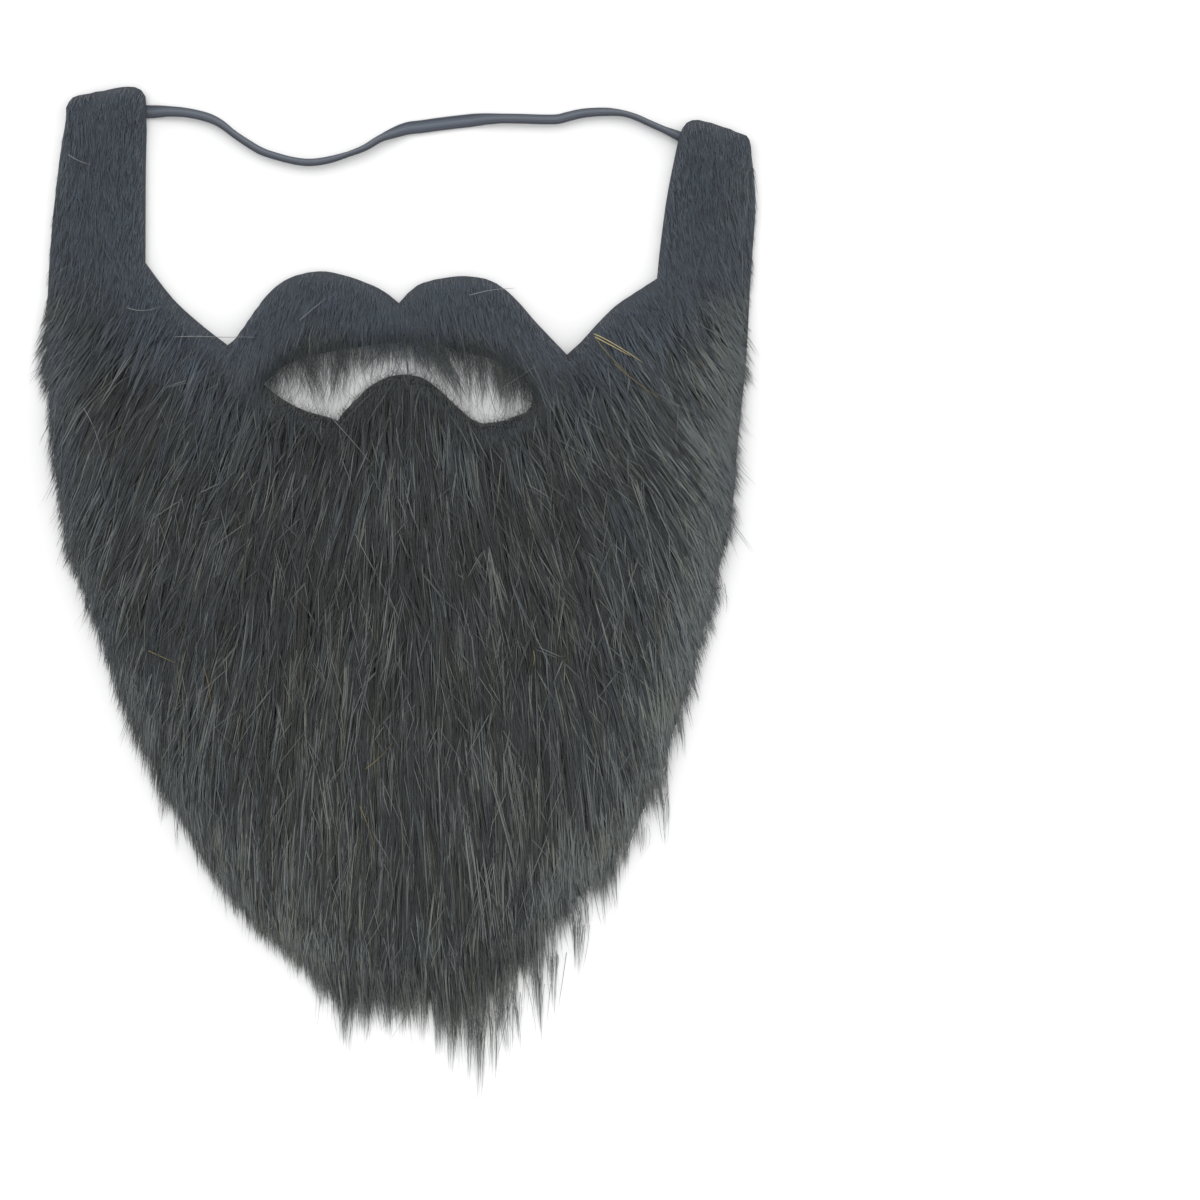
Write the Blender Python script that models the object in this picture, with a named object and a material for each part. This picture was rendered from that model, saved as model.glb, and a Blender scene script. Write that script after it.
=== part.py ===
# Fake beard of black pile cloth with an elastic band, lying on its back with the pile up.
#
# Frame: metres, +Z up. The origin is the middle of the beard's outer box, on the surface that it lies on.
# +Y runs towards the tops of the sideburns. +X runs towards the wearer's left, on the right seen from above.
#
# Two pieces: the pile cloth, one cut sheet whose pile stands in locks all over it, and the elastic band whose
# ends run under the tops of the sideburns.

import math

import bmesh
import bpy
from mathutils import Vector
from mathutils.geometry import tessellate_polygon

# Sizes of the whole
BEARD_WIDTH = 0.234  # across the pile at the sideburns
BEARD_LENGTH = 0.328  # from the left sideburn's top to the longest lock's tip

# Sizes of the cut cloth
CLOTH_THICKNESS = 0.0015  # knitted ground
MAT_THICKNESS = 0.0035  # short, dense under-pile on the ground
MAT_BEVEL = 0.0012  # how far the mat's top edge lies in from the cut edge
SIDEBURN_WIDTH = 0.025
LEFT_CHEEK_DROP = 0.0566  # sideburn top line down to the cheek corner
RIGHT_CHEEK_DROP = 0.0620
LEFT_NOTCH_DROP = 0.0834  # sideburn top line down to the notch between cheek and moustache
RIGHT_NOTCH_DROP = 0.0864
LEFT_NOTCH_REACH = 0.0536  # notch's distance from the middle
RIGHT_NOTCH_REACH = 0.0549
MIDDLE_NOTCH_DROP = 0.0698  # dip between the two halves of the moustache
MIDDLE_NOTCH_SHIFT = 0.0011
MOUSTACHE_RISE = 0.0245  # side notches up to the top of the moustache

# Sizes of the mouth opening
MOUTH_WIDTH = 0.0864
MOUTH_HEIGHT = 0.0262
MOUTH_DROP = 0.0822  # sideburn top line down to the opening's highest point
MOUTH_SHIFT = 0.0011

# Sizes of the pile
PILE_LOFT = 0.0165  # height of the locks on the chin and the jaw
SHORT_LOFT = 0.0085  # height of the locks on the sideburns, the cheeks and the moustache
LOCK_WIDTH = 0.0185
LOCK_LENGTH = 0.064
SHORT_LOCK_WIDTH = 0.0125
SHORT_LOCK_LENGTH = 0.026
ROW_PITCH = 0.0255  # down the beard, from one row of lock roots to the next
COLUMN_PITCH = 0.0160  # along a row
SHORT_ROW_PITCH = 0.0115
SHORT_COLUMN_PITCH = 0.0120
MOUSTACHE_LOCK_PITCH = 0.0085  # along the moustache's edge
LIP_LOCK_PITCH = 0.0105  # along the mouth opening's lower edge
LIP_LOCK_LENGTH = 0.0440
EDGE_SETBACK = 0.0035  # lock roots stay this far inside the cut edge
MOUTH_OVERHANG = 0.0015  # how far the moustache's locks reach into the mouth opening
SIDE_OVERHANG = 0.0025  # how far the rows' locks reach past the cloth's outer edge
SHORT_PILE_DROP = 0.1020  # sideburn top line down to where the full-length locks start
PILE_LEAN = math.radians(26.0)  # outward lean of the pile at the sides
CHIN_LEAN_SHARE = 0.25  # of that lean, which is left at the lowest tips
LOFT_VARIATION = 0.12  # share of the loft by which locks differ in height
ROW_WANDER = 0.18  # share of a row's pitch by which its roots lie off the row
LOCK_PATH_STEPS = 16  # steps in which a lock's path is followed from root to tip
BASE_LEVELS = (4 / 8, 5 / 8, 6 / 8)  # undersides of neighbouring locks, as shares of the cloth's thickness

# Sizes of the elastic band
BAND_DIAMETER = 0.0032
BAND_CLEARANCE = 0.0003
BAND_POINT_PITCH = 2.5  # band diameters from one point of the tube to the next
CHANNEL_ARCH_STEPS = 6  # flat faces of the arch over the band

HALF_WIDTH = BEARD_WIDTH / 2
TOP_LINE = BEARD_LENGTH / 2

# Cloth's outer edge. Columns: drop as a share of the beard's length, then the left and the right edge's
# distance from the middle as shares of half the width. The first row is the sideburns' outer top corners.
OUTER_EDGE = (
    (0.073, 0.910, 0.974),
    (0.151, 0.926, 0.970),
    (0.230, 0.937, 0.957),
    (0.308, 0.934, 0.942),
    (0.386, 0.918, 0.923),
    (0.464, 0.880, 0.890),
    (0.542, 0.798, 0.833),
    (0.601, 0.726, 0.785),
    (0.659, 0.658, 0.737),
    (0.718, 0.573, 0.669),
    (0.767, 0.480, 0.576),
    (0.806, 0.376, 0.464),
    (0.835, 0.248, 0.327),
    (0.850, 0.100, 0.177),
)

# Sideburn tops. Columns: outer corner's distance from the middle as a share of half the width, the outer and
# the inner corner's drop as shares of the cheek drop, and the width at the top and the inner edge's outward
# lean as shares of the sideburn's width.
LEFT_TOP = (0.888, 0.070, 0.000, 0.94, 0.00)
RIGHT_TOP = (0.964, 0.265, 0.170, 0.78, 0.38)

# Cheek cut. Columns: share of the way in from cheek corner to notch, then the left and right cuts' drop as a
# share of the way down to the notch.
CHEEK_CUT = (
    (0.00, 0.00, 0.00),
    (0.22, 0.30, 0.18),
    (0.42, 0.52, 0.33),
    (0.62, 0.70, 0.53),
    (0.81, 0.86, 0.79),
)

# Moustache's upper edge. Columns: share of the way from side notch to middle notch, then the left and right
# halves' rise above the side notch as a share of the moustache's rise.
MOUSTACHE_EDGE = (
    (0.00, 0.00, 0.00),
    (0.08, 0.21, 0.20),
    (0.17, 0.53, 0.39),
    (0.28, 0.78, 0.66),
    (0.38, 0.91, 0.87),
    (0.53, 0.99, 0.99),
    (0.66, 0.95, 1.01),
    (0.78, 0.86, 0.99),
    (0.91, 0.74, 0.88),
)

# Mouth opening. Columns: distance from its middle as a share of half its width, then the upper and the lower
# edge's drop below its highest point as shares of its height.
MOUTH_EDGE = (
    (-1.00, 0.50, 0.50),
    (-0.91, 0.36, 0.65),
    (-0.78, 0.22, 0.79),
    (-0.60, 0.11, 0.90),
    (-0.45, 0.06, 0.97),
    (-0.32, 0.02, 0.70),
    (-0.16, 0.00, 0.47),
    (0.02, 0.00, 0.39),
    (0.18, 0.02, 0.42),
    (0.33, 0.06, 0.62),
    (0.48, 0.11, 0.88),
    (0.62, 0.18, 1.00),
    (0.80, 0.28, 0.95),
    (0.95, 0.45, 0.84),
    (1.00, 0.64, 0.66),
)

# Locks along the outer edge, from the left sideburn round the chin to the right one. Columns: root's distance
# from the middle (share of half the width, left negative) and drop (share of the length), the same for the
# tip, and the lock's width as a share of LOCK_WIDTH.
FRINGE_LOCKS = (
    (-0.861, 0.044, -0.929, 0.137, 0.70),
    (-0.874, 0.112, -0.941, 0.215, 0.74),
    (-0.884, 0.176, -0.969, 0.286, 0.78),
    (-0.869, 0.240, -0.944, 0.348, 0.84),
    (-0.864, 0.308, -0.924, 0.412, 0.88),
    (-0.846, 0.376, -0.900, 0.466, 0.92),
    (-0.802, 0.435, -0.846, 0.524, 0.92),
    (-0.742, 0.493, -0.792, 0.592, 0.96),
    (-0.682, 0.552, -0.732, 0.655, 0.96),
    (-0.630, 0.610, -0.650, 0.725, 1.00),
    (-0.535, 0.668, -0.548, 0.766, 1.00),
    (-0.447, 0.712, -0.440, 0.816, 1.02),
    (-0.344, 0.747, -0.325, 0.852, 1.02),
    (-0.247, 0.771, -0.227, 0.896, 1.02),
    (-0.157, 0.786, -0.138, 0.943, 1.00),
    (-0.056, 0.791, -0.029, 0.928, 1.02),
    (0.045, 0.791, 0.056, 0.926, 1.02),
    (0.149, 0.791, 0.155, 0.978, 1.02),
    (0.226, 0.786, 0.231, 1.000, 0.94),
    (0.313, 0.776, 0.324, 0.940, 0.96),
    (0.395, 0.762, 0.402, 0.933, 0.92),
    (0.464, 0.737, 0.483, 0.876, 0.92),
    (0.538, 0.708, 0.570, 0.820, 0.92),
    (0.600, 0.669, 0.636, 0.776, 0.88),
    (0.669, 0.620, 0.740, 0.738, 0.88),
    (0.713, 0.562, 0.746, 0.688, 0.88),
    (0.776, 0.503, 0.809, 0.605, 0.88),
    (0.822, 0.444, 0.861, 0.542, 0.88),
    (0.844, 0.376, 0.880, 0.478, 0.88),
    (0.863, 0.308, 0.923, 0.386, 0.84),
    (0.880, 0.249, 0.955, 0.292, 0.76),
    (0.893, 0.181, 0.953, 0.239, 0.72),
    (0.904, 0.127, 0.970, 0.178, 0.66),
)

# One lock, root to tip. Columns: share of its length, its width and its height as shares of the full ones.
LOCK_SECTIONS = (
    (0.00, 0.50, 0.52),
    (0.18, 0.88, 0.90),
    (0.50, 1.00, 1.00),
    (0.83, 0.74, 0.66),
    (1.00, 0.15, 0.14),
)

# A lock's cross-section. Columns: share of its width to the side, share of its height.
LOCK_PROFILE = (
    (-0.50, 0.00),
    (0.50, 0.00),
    (0.36, 0.66),
    (0.00, 1.00),
    (-0.36, 0.66),
)

# Elastic band's centre line, seen from above, left sideburn to right sideburn. Columns: X, Y in metres.
BAND_ROUTE = (
    (-0.0915, 0.1558),
    (-0.0855, 0.1555),
    (-0.0794, 0.1552),
    (-0.0728, 0.1552),
    (-0.0667, 0.1546),
    (-0.0605, 0.1531),
    (-0.0562, 0.1514),
    (-0.0520, 0.1483),
    (-0.0482, 0.1457),
    (-0.0434, 0.1427),
    (-0.0390, 0.1410),
    (-0.0329, 0.1396),
    (-0.0274, 0.1391),
    (-0.0213, 0.1396),
    (-0.0146, 0.1413),
    (-0.0098, 0.1435),
    (-0.0053, 0.1462),
    (-0.0011, 0.1486),
    (0.0037, 0.1501),
    (0.0082, 0.1507),
    (0.0146, 0.1516),
    (0.0213, 0.1524),
    (0.0277, 0.1529),
    (0.0341, 0.1530),
    (0.0408, 0.1529),
    (0.0472, 0.1529),
    (0.0520, 0.1530),
    (0.0552, 0.1538),
    (0.0603, 0.1549),
    (0.0669, 0.1553),
    (0.0722, 0.1549),
    (0.0766, 0.1537),
    (0.0811, 0.1517),
    (0.0859, 0.1496),
    (0.0904, 0.1477),
    (0.0958, 0.1453),
    (0.1010, 0.1428),
)


def clear_scene():
    """Removes every object, so that the script starts from an empty scene."""
    for thing in list(bpy.data.objects):
        bpy.data.objects.remove(thing, do_unlink=True)


def material(name, colour, roughness, metallic=0.0):
    """A plain surface of one colour."""
    made = bpy.data.materials.new(name)
    made.use_nodes = True
    shader = made.node_tree.nodes["Principled BSDF"]
    shader.inputs["Base Color"].default_value = (*colour, 1.0)
    shader.inputs["Roughness"].default_value = roughness
    shader.inputs["Metallic"].default_value = metallic
    return made


def between(low, high, share):
    """The value that lies this share of the way from low to high."""
    return low + (high - low) * share


def from_middle(across, drop):
    """The point at a distance from the middle and a drop, as shares of half the width and of the length."""
    return Vector((across * HALF_WIDTH, TOP_LINE - drop * BEARD_LENGTH))


def moustache_edge(side):
    """One half of the moustache's upper edge, from its side notch to the middle notch."""
    column = 1 if side < 0 else 2
    reach = LEFT_NOTCH_REACH if side < 0 else RIGHT_NOTCH_REACH
    drop = LEFT_NOTCH_DROP if side < 0 else RIGHT_NOTCH_DROP
    edge = []
    for row in MOUSTACHE_EDGE:
        across = between(side * reach, MIDDLE_NOTCH_SHIFT, row[0])
        edge.append(Vector((across, TOP_LINE - drop + row[column] * MOUSTACHE_RISE)))
    return [*edge, Vector((MIDDLE_NOTCH_SHIFT, TOP_LINE - MIDDLE_NOTCH_DROP))]


def side_outline(side, top, cheek_drop):
    """One side of the cloth, from the middle of the moustache out over the cheek, round the sideburn and
    down the outer edge to the chin. side is -1 on the left and 1 on the right."""
    column = 1 if side < 0 else 2
    lobe = moustache_edge(side)
    notch = lobe[0]
    outer_share, outer_drop, inner_drop, width, lean = top
    outer_top = Vector((side * outer_share * HALF_WIDTH, TOP_LINE - outer_drop * cheek_drop))
    inner_top = Vector((outer_top.x - side * width * SIDEBURN_WIDTH, TOP_LINE - inner_drop * cheek_drop))
    cheek = Vector((inner_top.x - side * lean * SIDEBURN_WIDTH, TOP_LINE - cheek_drop))
    cut = [
        Vector((between(cheek.x, notch.x, row[0]), between(cheek.y, notch.y, row[column])))
        for row in CHEEK_CUT
    ]
    jaw = [from_middle(side * row[column], row[0]) for row in OUTER_EDGE]
    return [*reversed(lobe[:-1]), *reversed(cut), inner_top, outer_top, *jaw]


def cloth_outline():
    """The cut cloth's edge, seen from above, anticlockwise from the dip in the moustache."""
    left = side_outline(-1, LEFT_TOP, LEFT_CHEEK_DROP)
    right = side_outline(1, RIGHT_TOP, RIGHT_CHEEK_DROP)
    return [moustache_edge(-1)[-1], *left, *reversed(right)]


def mouth_point(across, down):
    """A point of the mouth opening, by its shares of half the opening's width and of its height."""
    return Vector((MOUTH_SHIFT + across * MOUTH_WIDTH / 2, TOP_LINE - MOUTH_DROP - down * MOUTH_HEIGHT))


def mouth_outline():
    """The mouth opening's edge, seen from above, anticlockwise: lower edge to the right, upper edge back."""
    lower = [mouth_point(across, low) for across, high, low in MOUTH_EDGE]
    upper = [mouth_point(across, high) for across, high, low in reversed(MOUTH_EDGE[1:])]
    return lower + upper


def inside(point, outline):
    """Whether a point seen from above lies within an outline."""
    within = False
    for start, end in zip(outline, outline[1:] + outline[:1]):
        if (start.y > point.y) != (end.y > point.y):
            crossing = between(start.x, end.x, (point.y - start.y) / (end.y - start.y))
            if crossing > point.x:
                within = not within
    return within


def distance_to(point, outline):
    """The least distance from a point to an outline, seen from above."""
    least = math.inf
    for start, end in zip(outline, outline[1:] + outline[:1]):
        run = end - start
        share = max(0.0, min(1.0, (point - start).dot(run) / run.length_squared))
        least = min(least, (point - start - run * share).length)
    return least


def moved_in(outline, distance):
    """An anticlockwise outline with each point moved to its left, into the cloth, by a distance."""
    moved = []
    for before, here, after in zip(outline[-1:] + outline[:-1], outline, outline[1:] + outline[:1]):
        along = ((here - before).normalized() + (after - here).normalized()).normalized()
        moved.append(here + Vector((-along.y, along.x)) * distance)
    return moved


def cloth_sheet(name):
    """The cut sheet with its mouth opening: the knitted ground, and the under-pile with its edge bevelled."""
    outer = cloth_outline()
    mouth = mouth_outline()
    outer_top = moved_in(outer, MAT_BEVEL)
    mouth_top = moved_in(mouth, -MAT_BEVEL)
    top = CLOTH_THICKNESS + MAT_THICKNESS
    levels = (
        (0.0, outer, mouth),
        (CLOTH_THICKNESS, outer, mouth),
        (top - MAT_BEVEL, outer, mouth),
        (top, outer_top, mouth_top),
    )
    shape = bmesh.new()
    rings = []
    for height, edge, hole in levels:
        rings.append([shape.verts.new((*point, height)) for point in edge + hole])
    loops = (range(len(outer)), range(len(outer), len(outer) + len(mouth)))
    for below, above in zip(rings, rings[1:]):
        for loop, turned in zip(loops, (False, True)):
            for here, after in zip(loop, [*loop[1:], loop[0]]):
                side = [below[here], below[after], above[after], above[here]]
                shape.faces.new(reversed(side) if turned else side)
    flat = [[point.to_3d() for point in outer], [point.to_3d() for point in mouth]]
    for corners in tessellate_polygon(flat):
        points = [(outer + mouth)[corner] for corner in corners]
        turn = (points[1] - points[0]).cross(points[2] - points[0])
        upward = corners if turn > 0 else tuple(reversed(corners))
        shape.faces.new([rings[-1][corner] for corner in upward])
        shape.faces.new([rings[0][corner] for corner in reversed(upward)])
    bmesh.ops.recalc_face_normals(shape, faces=shape.faces)
    return as_object(shape, name)


def as_object(shape, name):
    """A bmesh's shape as an object in the scene."""
    mesh = bpy.data.meshes.new(name)
    shape.to_mesh(mesh)
    shape.free()
    made = bpy.data.objects.new(name, mesh)
    bpy.context.scene.collection.objects.link(made)
    return made


def join_rings(shape, rings):
    """Closes a run of equal rings of points into one solid, with its faces turned outward."""
    made = [shape.faces.new(reversed(rings[0])), shape.faces.new(rings[-1])]
    for near, far in zip(rings, rings[1:]):
        for here in range(len(near)):
            after = (here + 1) % len(near)
            made.append(shape.faces.new((near[here], near[after], far[after], far[here])))
    bmesh.ops.recalc_face_normals(shape, faces=made)


def pile_direction(point):
    """Which way the pile lies at a point seen from above: down the beard, leaning outward at the sides."""
    across = max(-1.0, min(1.0, point.x / HALF_WIDTH))
    drop = (TOP_LINE - point.y) / BEARD_LENGTH
    fading = max(CHIN_LEAN_SHARE, min(1.0, 2 - 2 * drop))
    lean = math.copysign(math.sqrt(abs(across)), across) * PILE_LEAN * fading
    return Vector((math.sin(lean), -math.cos(lean)))


def loft_at(point):
    """The locks' height at a root: low on the sideburns and the moustache, full on the jaw and the chin."""
    drop = TOP_LINE - point.y
    share = (drop - LEFT_CHEEK_DROP) / (MOUTH_DROP + MOUTH_HEIGHT - LEFT_CHEEK_DROP)
    return between(SHORT_LOFT, PILE_LOFT, max(0.0, min(1.0, share)))


def add_lock(shape, root, tip, width, height, base):
    """Adds one closed lock of pile, flat below and ridged on top, from its root to its tip."""
    forward = (tip - root).normalized()
    sideways = Vector((-forward.y, forward.x))
    rings = []
    for along, wide, high in LOCK_SECTIONS:
        middle = root.lerp(tip, along)
        ring = []
        for aside, up in LOCK_PROFILE:
            place = middle + sideways * aside * wide * width
            ring.append(shape.verts.new((place.x, place.y, base + up * high * height)))
        rings.append(ring)
    join_rings(shape, rings)


def rows_of_locks(outer, mouth, start_drop, end_drop, row_pitch, column_pitch, length, width):
    """Root and tip of each lock between two drops, row by row, each row half a column aside from the last."""
    found = []
    rows = math.ceil((end_drop - start_drop) / row_pitch)
    columns = math.ceil(HALF_WIDTH / column_pitch)
    for row in range(rows):
        for column in range(-columns, columns + 1):
            aside = (column + 0.5 * (row % 2)) * column_pitch
            wander = ROW_WANDER * row_pitch * math.sin(7 * column / 3 + 5 * row / 3)
            root = Vector((aside, TOP_LINE - start_drop - (row + 0.5) * row_pitch + wander))
            if not inside(root, outer) or distance_to(root, outer) < EDGE_SETBACK:
                continue
            if inside(root, mouth) or distance_to(root, mouth) < EDGE_SETBACK:
                continue
            tip = lock_tip(root, length, outer, mouth)
            if (tip - root).length > width:
                found.append((root, tip))
    return found


def edge_locks(edge, pitch, length, outer, mouth):
    """Root and tip of each lock that hangs from an edge, which runs from left to right."""
    count = round((edge[-1].x - edge[0].x) / pitch)
    locks = []
    for step in range(1, count):
        aside = between(edge[0].x, edge[-1].x, step / count)
        start, end = next((a, b) for a, b in zip(edge, edge[1:]) if a.x <= aside <= b.x)
        height = between(start.y, end.y, (aside - start.x) / (end.x - start.x))
        root = Vector((aside, height - EDGE_SETBACK))
        if inside(root, outer) and not inside(root, mouth):
            locks.append((root, lock_tip(root, length, outer, mouth)))
    return locks


def lock_tip(root, length, outer, mouth):
    """Where a lock rooted at a point ends: at its full length, or when it has run far enough past an edge."""
    point = root
    for step in range(LOCK_PATH_STEPS):
        point = point + pile_direction(point) * length / LOCK_PATH_STEPS
        if inside(point, mouth) and distance_to(point, mouth) > MOUTH_OVERHANG:
            break
        if not inside(point, outer) and distance_to(point, outer) > SIDE_OVERHANG:
            break
    return point


def pile_locks(name):
    """All locks of the pile as one mesh of overlapping closed shapes."""
    outer = cloth_outline()
    mouth = mouth_outline()
    short = rows_of_locks(
        outer, mouth, 0.0, SHORT_PILE_DROP,
        SHORT_ROW_PITCH, SHORT_COLUMN_PITCH, SHORT_LOCK_LENGTH, SHORT_LOCK_WIDTH,
    )
    full = rows_of_locks(
        outer, mouth, SHORT_PILE_DROP, BEARD_LENGTH - LOCK_LENGTH,
        ROW_PITCH, COLUMN_PITCH, LOCK_LENGTH, LOCK_WIDTH,
    )
    fringe = [
        (from_middle(root_across, root_drop), from_middle(tip_across, tip_drop), wide * LOCK_WIDTH)
        for root_across, root_drop, tip_across, tip_drop, wide in FRINGE_LOCKS
    ]
    moustache = moustache_edge(-1) + moustache_edge(1)[-2::-1]
    short += edge_locks(moustache, MOUSTACHE_LOCK_PITCH, SHORT_LOCK_LENGTH, outer, mouth)
    full += edge_locks(mouth[: len(MOUTH_EDGE)], LIP_LOCK_PITCH, LIP_LOCK_LENGTH, outer, mouth)
    locks = [(root, tip, SHORT_LOCK_WIDTH) for root, tip in short]
    locks += [(root, tip, LOCK_WIDTH) for root, tip in full]
    locks += fringe
    shape = bmesh.new()
    for count, (root, tip, width) in enumerate(locks):
        base = CLOTH_THICKNESS * BASE_LEVELS[count % len(BASE_LEVELS)]
        height = loft_at(root) * (1 - LOFT_VARIATION * (1 + math.sin(2 * count)) / 2)
        add_lock(shape, root, tip, width, height, base)
    return as_object(shape, name)


def smooth_route(points, pitch):
    """Evenly spaced points on a smooth curve through a route's own points."""
    ends = [points[0] * 2 - points[1], *points, points[-1] * 2 - points[-2]]
    fine = []
    pieces = 12
    for before, start, end, after in zip(ends, ends[1:], ends[2:], ends[3:]):
        for piece in range(pieces):
            t = piece / pieces
            fine.append((
                start * 2
                + (end - before) * t
                + (before * 2 - start * 5 + end * 4 - after) * t**2
                + (start * 3 - before - end * 3 + after) * t**3
            ) / 2)
    fine.append(points[-1])
    length = sum((b - a).length for a, b in zip(fine, fine[1:]))
    count = max(2, round(length / pitch))
    even = [fine[0]]
    walked = 0.0
    for start, end in zip(fine, fine[1:]):
        step = (end - start).length
        while len(even) < count and walked + step >= length * len(even) / count:
            even.append(start.lerp(end, (length * len(even) / count - walked) / step))
        walked += step
    even.append(fine[-1])
    return even


def band_points():
    """Points along the elastic band's centre line as it lies on the surface."""
    route = [Vector((x, y, BAND_DIAMETER / 2)) for x, y in BAND_ROUTE]
    return smooth_route(route, BAND_POINT_PITCH * BAND_DIAMETER)


def band_tube(name):
    """A round tube along the elastic band's route, lying on the surface."""
    points = band_points()
    curve = bpy.data.curves.new(name, "CURVE")
    curve.dimensions = "3D"
    curve.bevel_depth = BAND_DIAMETER / 2
    curve.bevel_resolution = 2
    curve.use_fill_caps = True
    spline = curve.splines.new("POLY")
    spline.points.add(len(points) - 1)
    for knot, point in zip(spline.points, points):
        knot.co = (*point, 1.0)
    made = bpy.data.objects.new(name, curve)
    bpy.context.scene.collection.objects.link(made)
    return made


def band_channel(name):
    """The space that the band needs below the cloth: an arch over its whole route, open at the surface."""
    points = band_points()
    points[0] = points[0] + (points[0] - points[1]).normalized() * BAND_CLEARANCE
    points[-1] = points[-1] + (points[-1] - points[-2]).normalized() * BAND_CLEARANCE
    reach = BAND_DIAMETER / 2 + BAND_CLEARANCE
    arch = [math.pi * step / CHANNEL_ARCH_STEPS for step in range(CHANNEL_ARCH_STEPS + 1)]
    section = [(math.cos(turn) * reach, BAND_DIAMETER / 2 + math.sin(turn) * reach) for turn in arch]
    section += [(-reach, -CLOTH_THICKNESS), (reach, -CLOTH_THICKNESS)]
    shape = bmesh.new()
    rings = []
    for before, here, after in zip(points[:1] + points[:-1], points, points[1:] + points[-1:]):
        along = (after - before).normalized()
        sideways = Vector((-along.y, along.x, 0.0))
        rings.append([
            shape.verts.new((*(here + sideways * aside).xy, height)) for aside, height in section
        ])
    join_rings(shape, rings)
    return as_object(shape, name)


def guide(thing):
    """Marks an object as a guide that is not part of the beard."""
    thing.hide_render = True
    thing.display_type = "WIRE"
    return thing


def boolean(thing, operation, other, name, own_overlaps=False):
    """Joins another shape to an object, or cuts it out."""
    step = thing.modifiers.new(name, "BOOLEAN")
    step.operation = operation
    step.object = guide(other)
    step.solver = "EXACT"
    step.use_self = own_overlaps


def fur_cloth():
    """The pile cloth: the cut sheet with its locks fused to it, and a channel below for the band's ends."""
    cloth = cloth_sheet("fur_cloth")
    boolean(cloth, "UNION", pile_locks("pile_locks"), "locks", own_overlaps=True)
    boolean(cloth, "DIFFERENCE", band_channel("band_channel"), "channels")
    cloth.data.materials.append(material("black_fur", (0.030, 0.036, 0.037), 0.85))
    return cloth


def elastic_band():
    """The elastic band."""
    band = band_tube("elastic_band")
    band.data.materials.append(material("black_elastic", (0.070, 0.085, 0.095), 0.70))
    return band


clear_scene()
fur_cloth()
elastic_band()
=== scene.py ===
"""Dresses the fake beard: a cut of long black pile cloth and its elastic band, laid flat on a pale floor."""

import math

import bpy
import numpy as np
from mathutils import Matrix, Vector, geometry


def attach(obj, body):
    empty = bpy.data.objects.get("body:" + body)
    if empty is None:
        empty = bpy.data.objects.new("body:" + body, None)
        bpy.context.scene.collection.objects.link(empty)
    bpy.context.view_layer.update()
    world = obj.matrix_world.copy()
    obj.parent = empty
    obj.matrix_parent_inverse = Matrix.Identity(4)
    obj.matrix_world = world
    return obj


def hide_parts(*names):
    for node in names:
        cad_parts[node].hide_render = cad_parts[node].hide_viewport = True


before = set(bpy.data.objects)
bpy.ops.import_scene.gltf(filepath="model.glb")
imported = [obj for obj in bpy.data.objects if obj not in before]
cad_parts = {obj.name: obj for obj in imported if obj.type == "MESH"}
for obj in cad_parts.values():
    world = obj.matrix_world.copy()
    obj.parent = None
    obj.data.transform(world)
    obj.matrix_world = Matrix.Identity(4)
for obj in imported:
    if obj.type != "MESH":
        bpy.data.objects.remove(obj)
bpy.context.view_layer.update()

MM = 0.001

# Camera, straight above the beard, in metres.
CAMERA_PLACE = (0.06544, -0.00096, 1.0690)
CAMERA_LENS = 100

# Elastic band, in mm, and its length in metres.
BAND_WIDTH = 4.2
BAND_THICKNESS = 1.15
BAND_RIBS = 5
BAND_RIB_DEPTH = 0.22
BAND_STROKE_PITCH = 0.9
BAND_STROKE_SLANT = 9.0
BAND_STEP = 0.8

# Where the band lies, in metres, from under the left sideburn to under the right one.
BAND_ROUTE = (
    (-0.0915, 0.1559), (-0.0855, 0.1558), (-0.0794, 0.1555), (-0.0728, 0.1555), (-0.0667, 0.1550),
    (-0.0605, 0.1536), (-0.0562, 0.1516), (-0.0520, 0.1484), (-0.0482, 0.1458), (-0.0434, 0.1429),
    (-0.0390, 0.1413), (-0.0329, 0.1397), (-0.0274, 0.1391), (-0.0213, 0.1399), (-0.0146, 0.1419),
    (-0.0098, 0.1438), (-0.0053, 0.1465), (-0.0011, 0.1484), (0.0037, 0.1501), (0.0082, 0.1507),
    (0.0146, 0.1516), (0.0213, 0.1524), (0.0277, 0.1530), (0.0341, 0.1532), (0.0408, 0.1531),
    (0.0472, 0.1529), (0.0520, 0.1530), (0.0552, 0.1538), (0.0603, 0.1549), (0.0669, 0.1553),
    (0.0722, 0.1549), (0.0766, 0.1537), (0.0811, 0.1517), (0.0859, 0.1496), (0.0904, 0.1477),
    (0.0958, 0.1453), (0.1010, 0.1428),
)

# How far the band is turned about its own line, in degrees: across (mm), turn.
BAND_TURNS = (
    (-92, 0), (-78, 8), (-73, 34), (-67, 44), (-60, 48), (-53, 64), (-43, 59), (-34, 60), (-28, 57),
    (-21, 58), (-15, 68), (-8, 59), (-4, 55), (0, 30), (5, 10), (24, 6), (29, 28), (34, 41), (54, 41),
    (62, 46), (68, 51), (73, 64), (80, 63), (86, 61), (91, 40), (95, 8), (102, 0),
)

# The stitched ends of the band: across and up in mm, and the band's turn there in degrees.
STITCHED_ENDS = ((-87.0, 155.6, -3), (97.0, 144.8, -25))

# How many stitches hold each end, and their measures in mm.
STITCHES = 6
STITCH_PITCH = 0.9
STITCH_REACH = 2.6
STITCH_HEIGHT = 0.16
STITCH_WIDTH = 0.28

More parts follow.
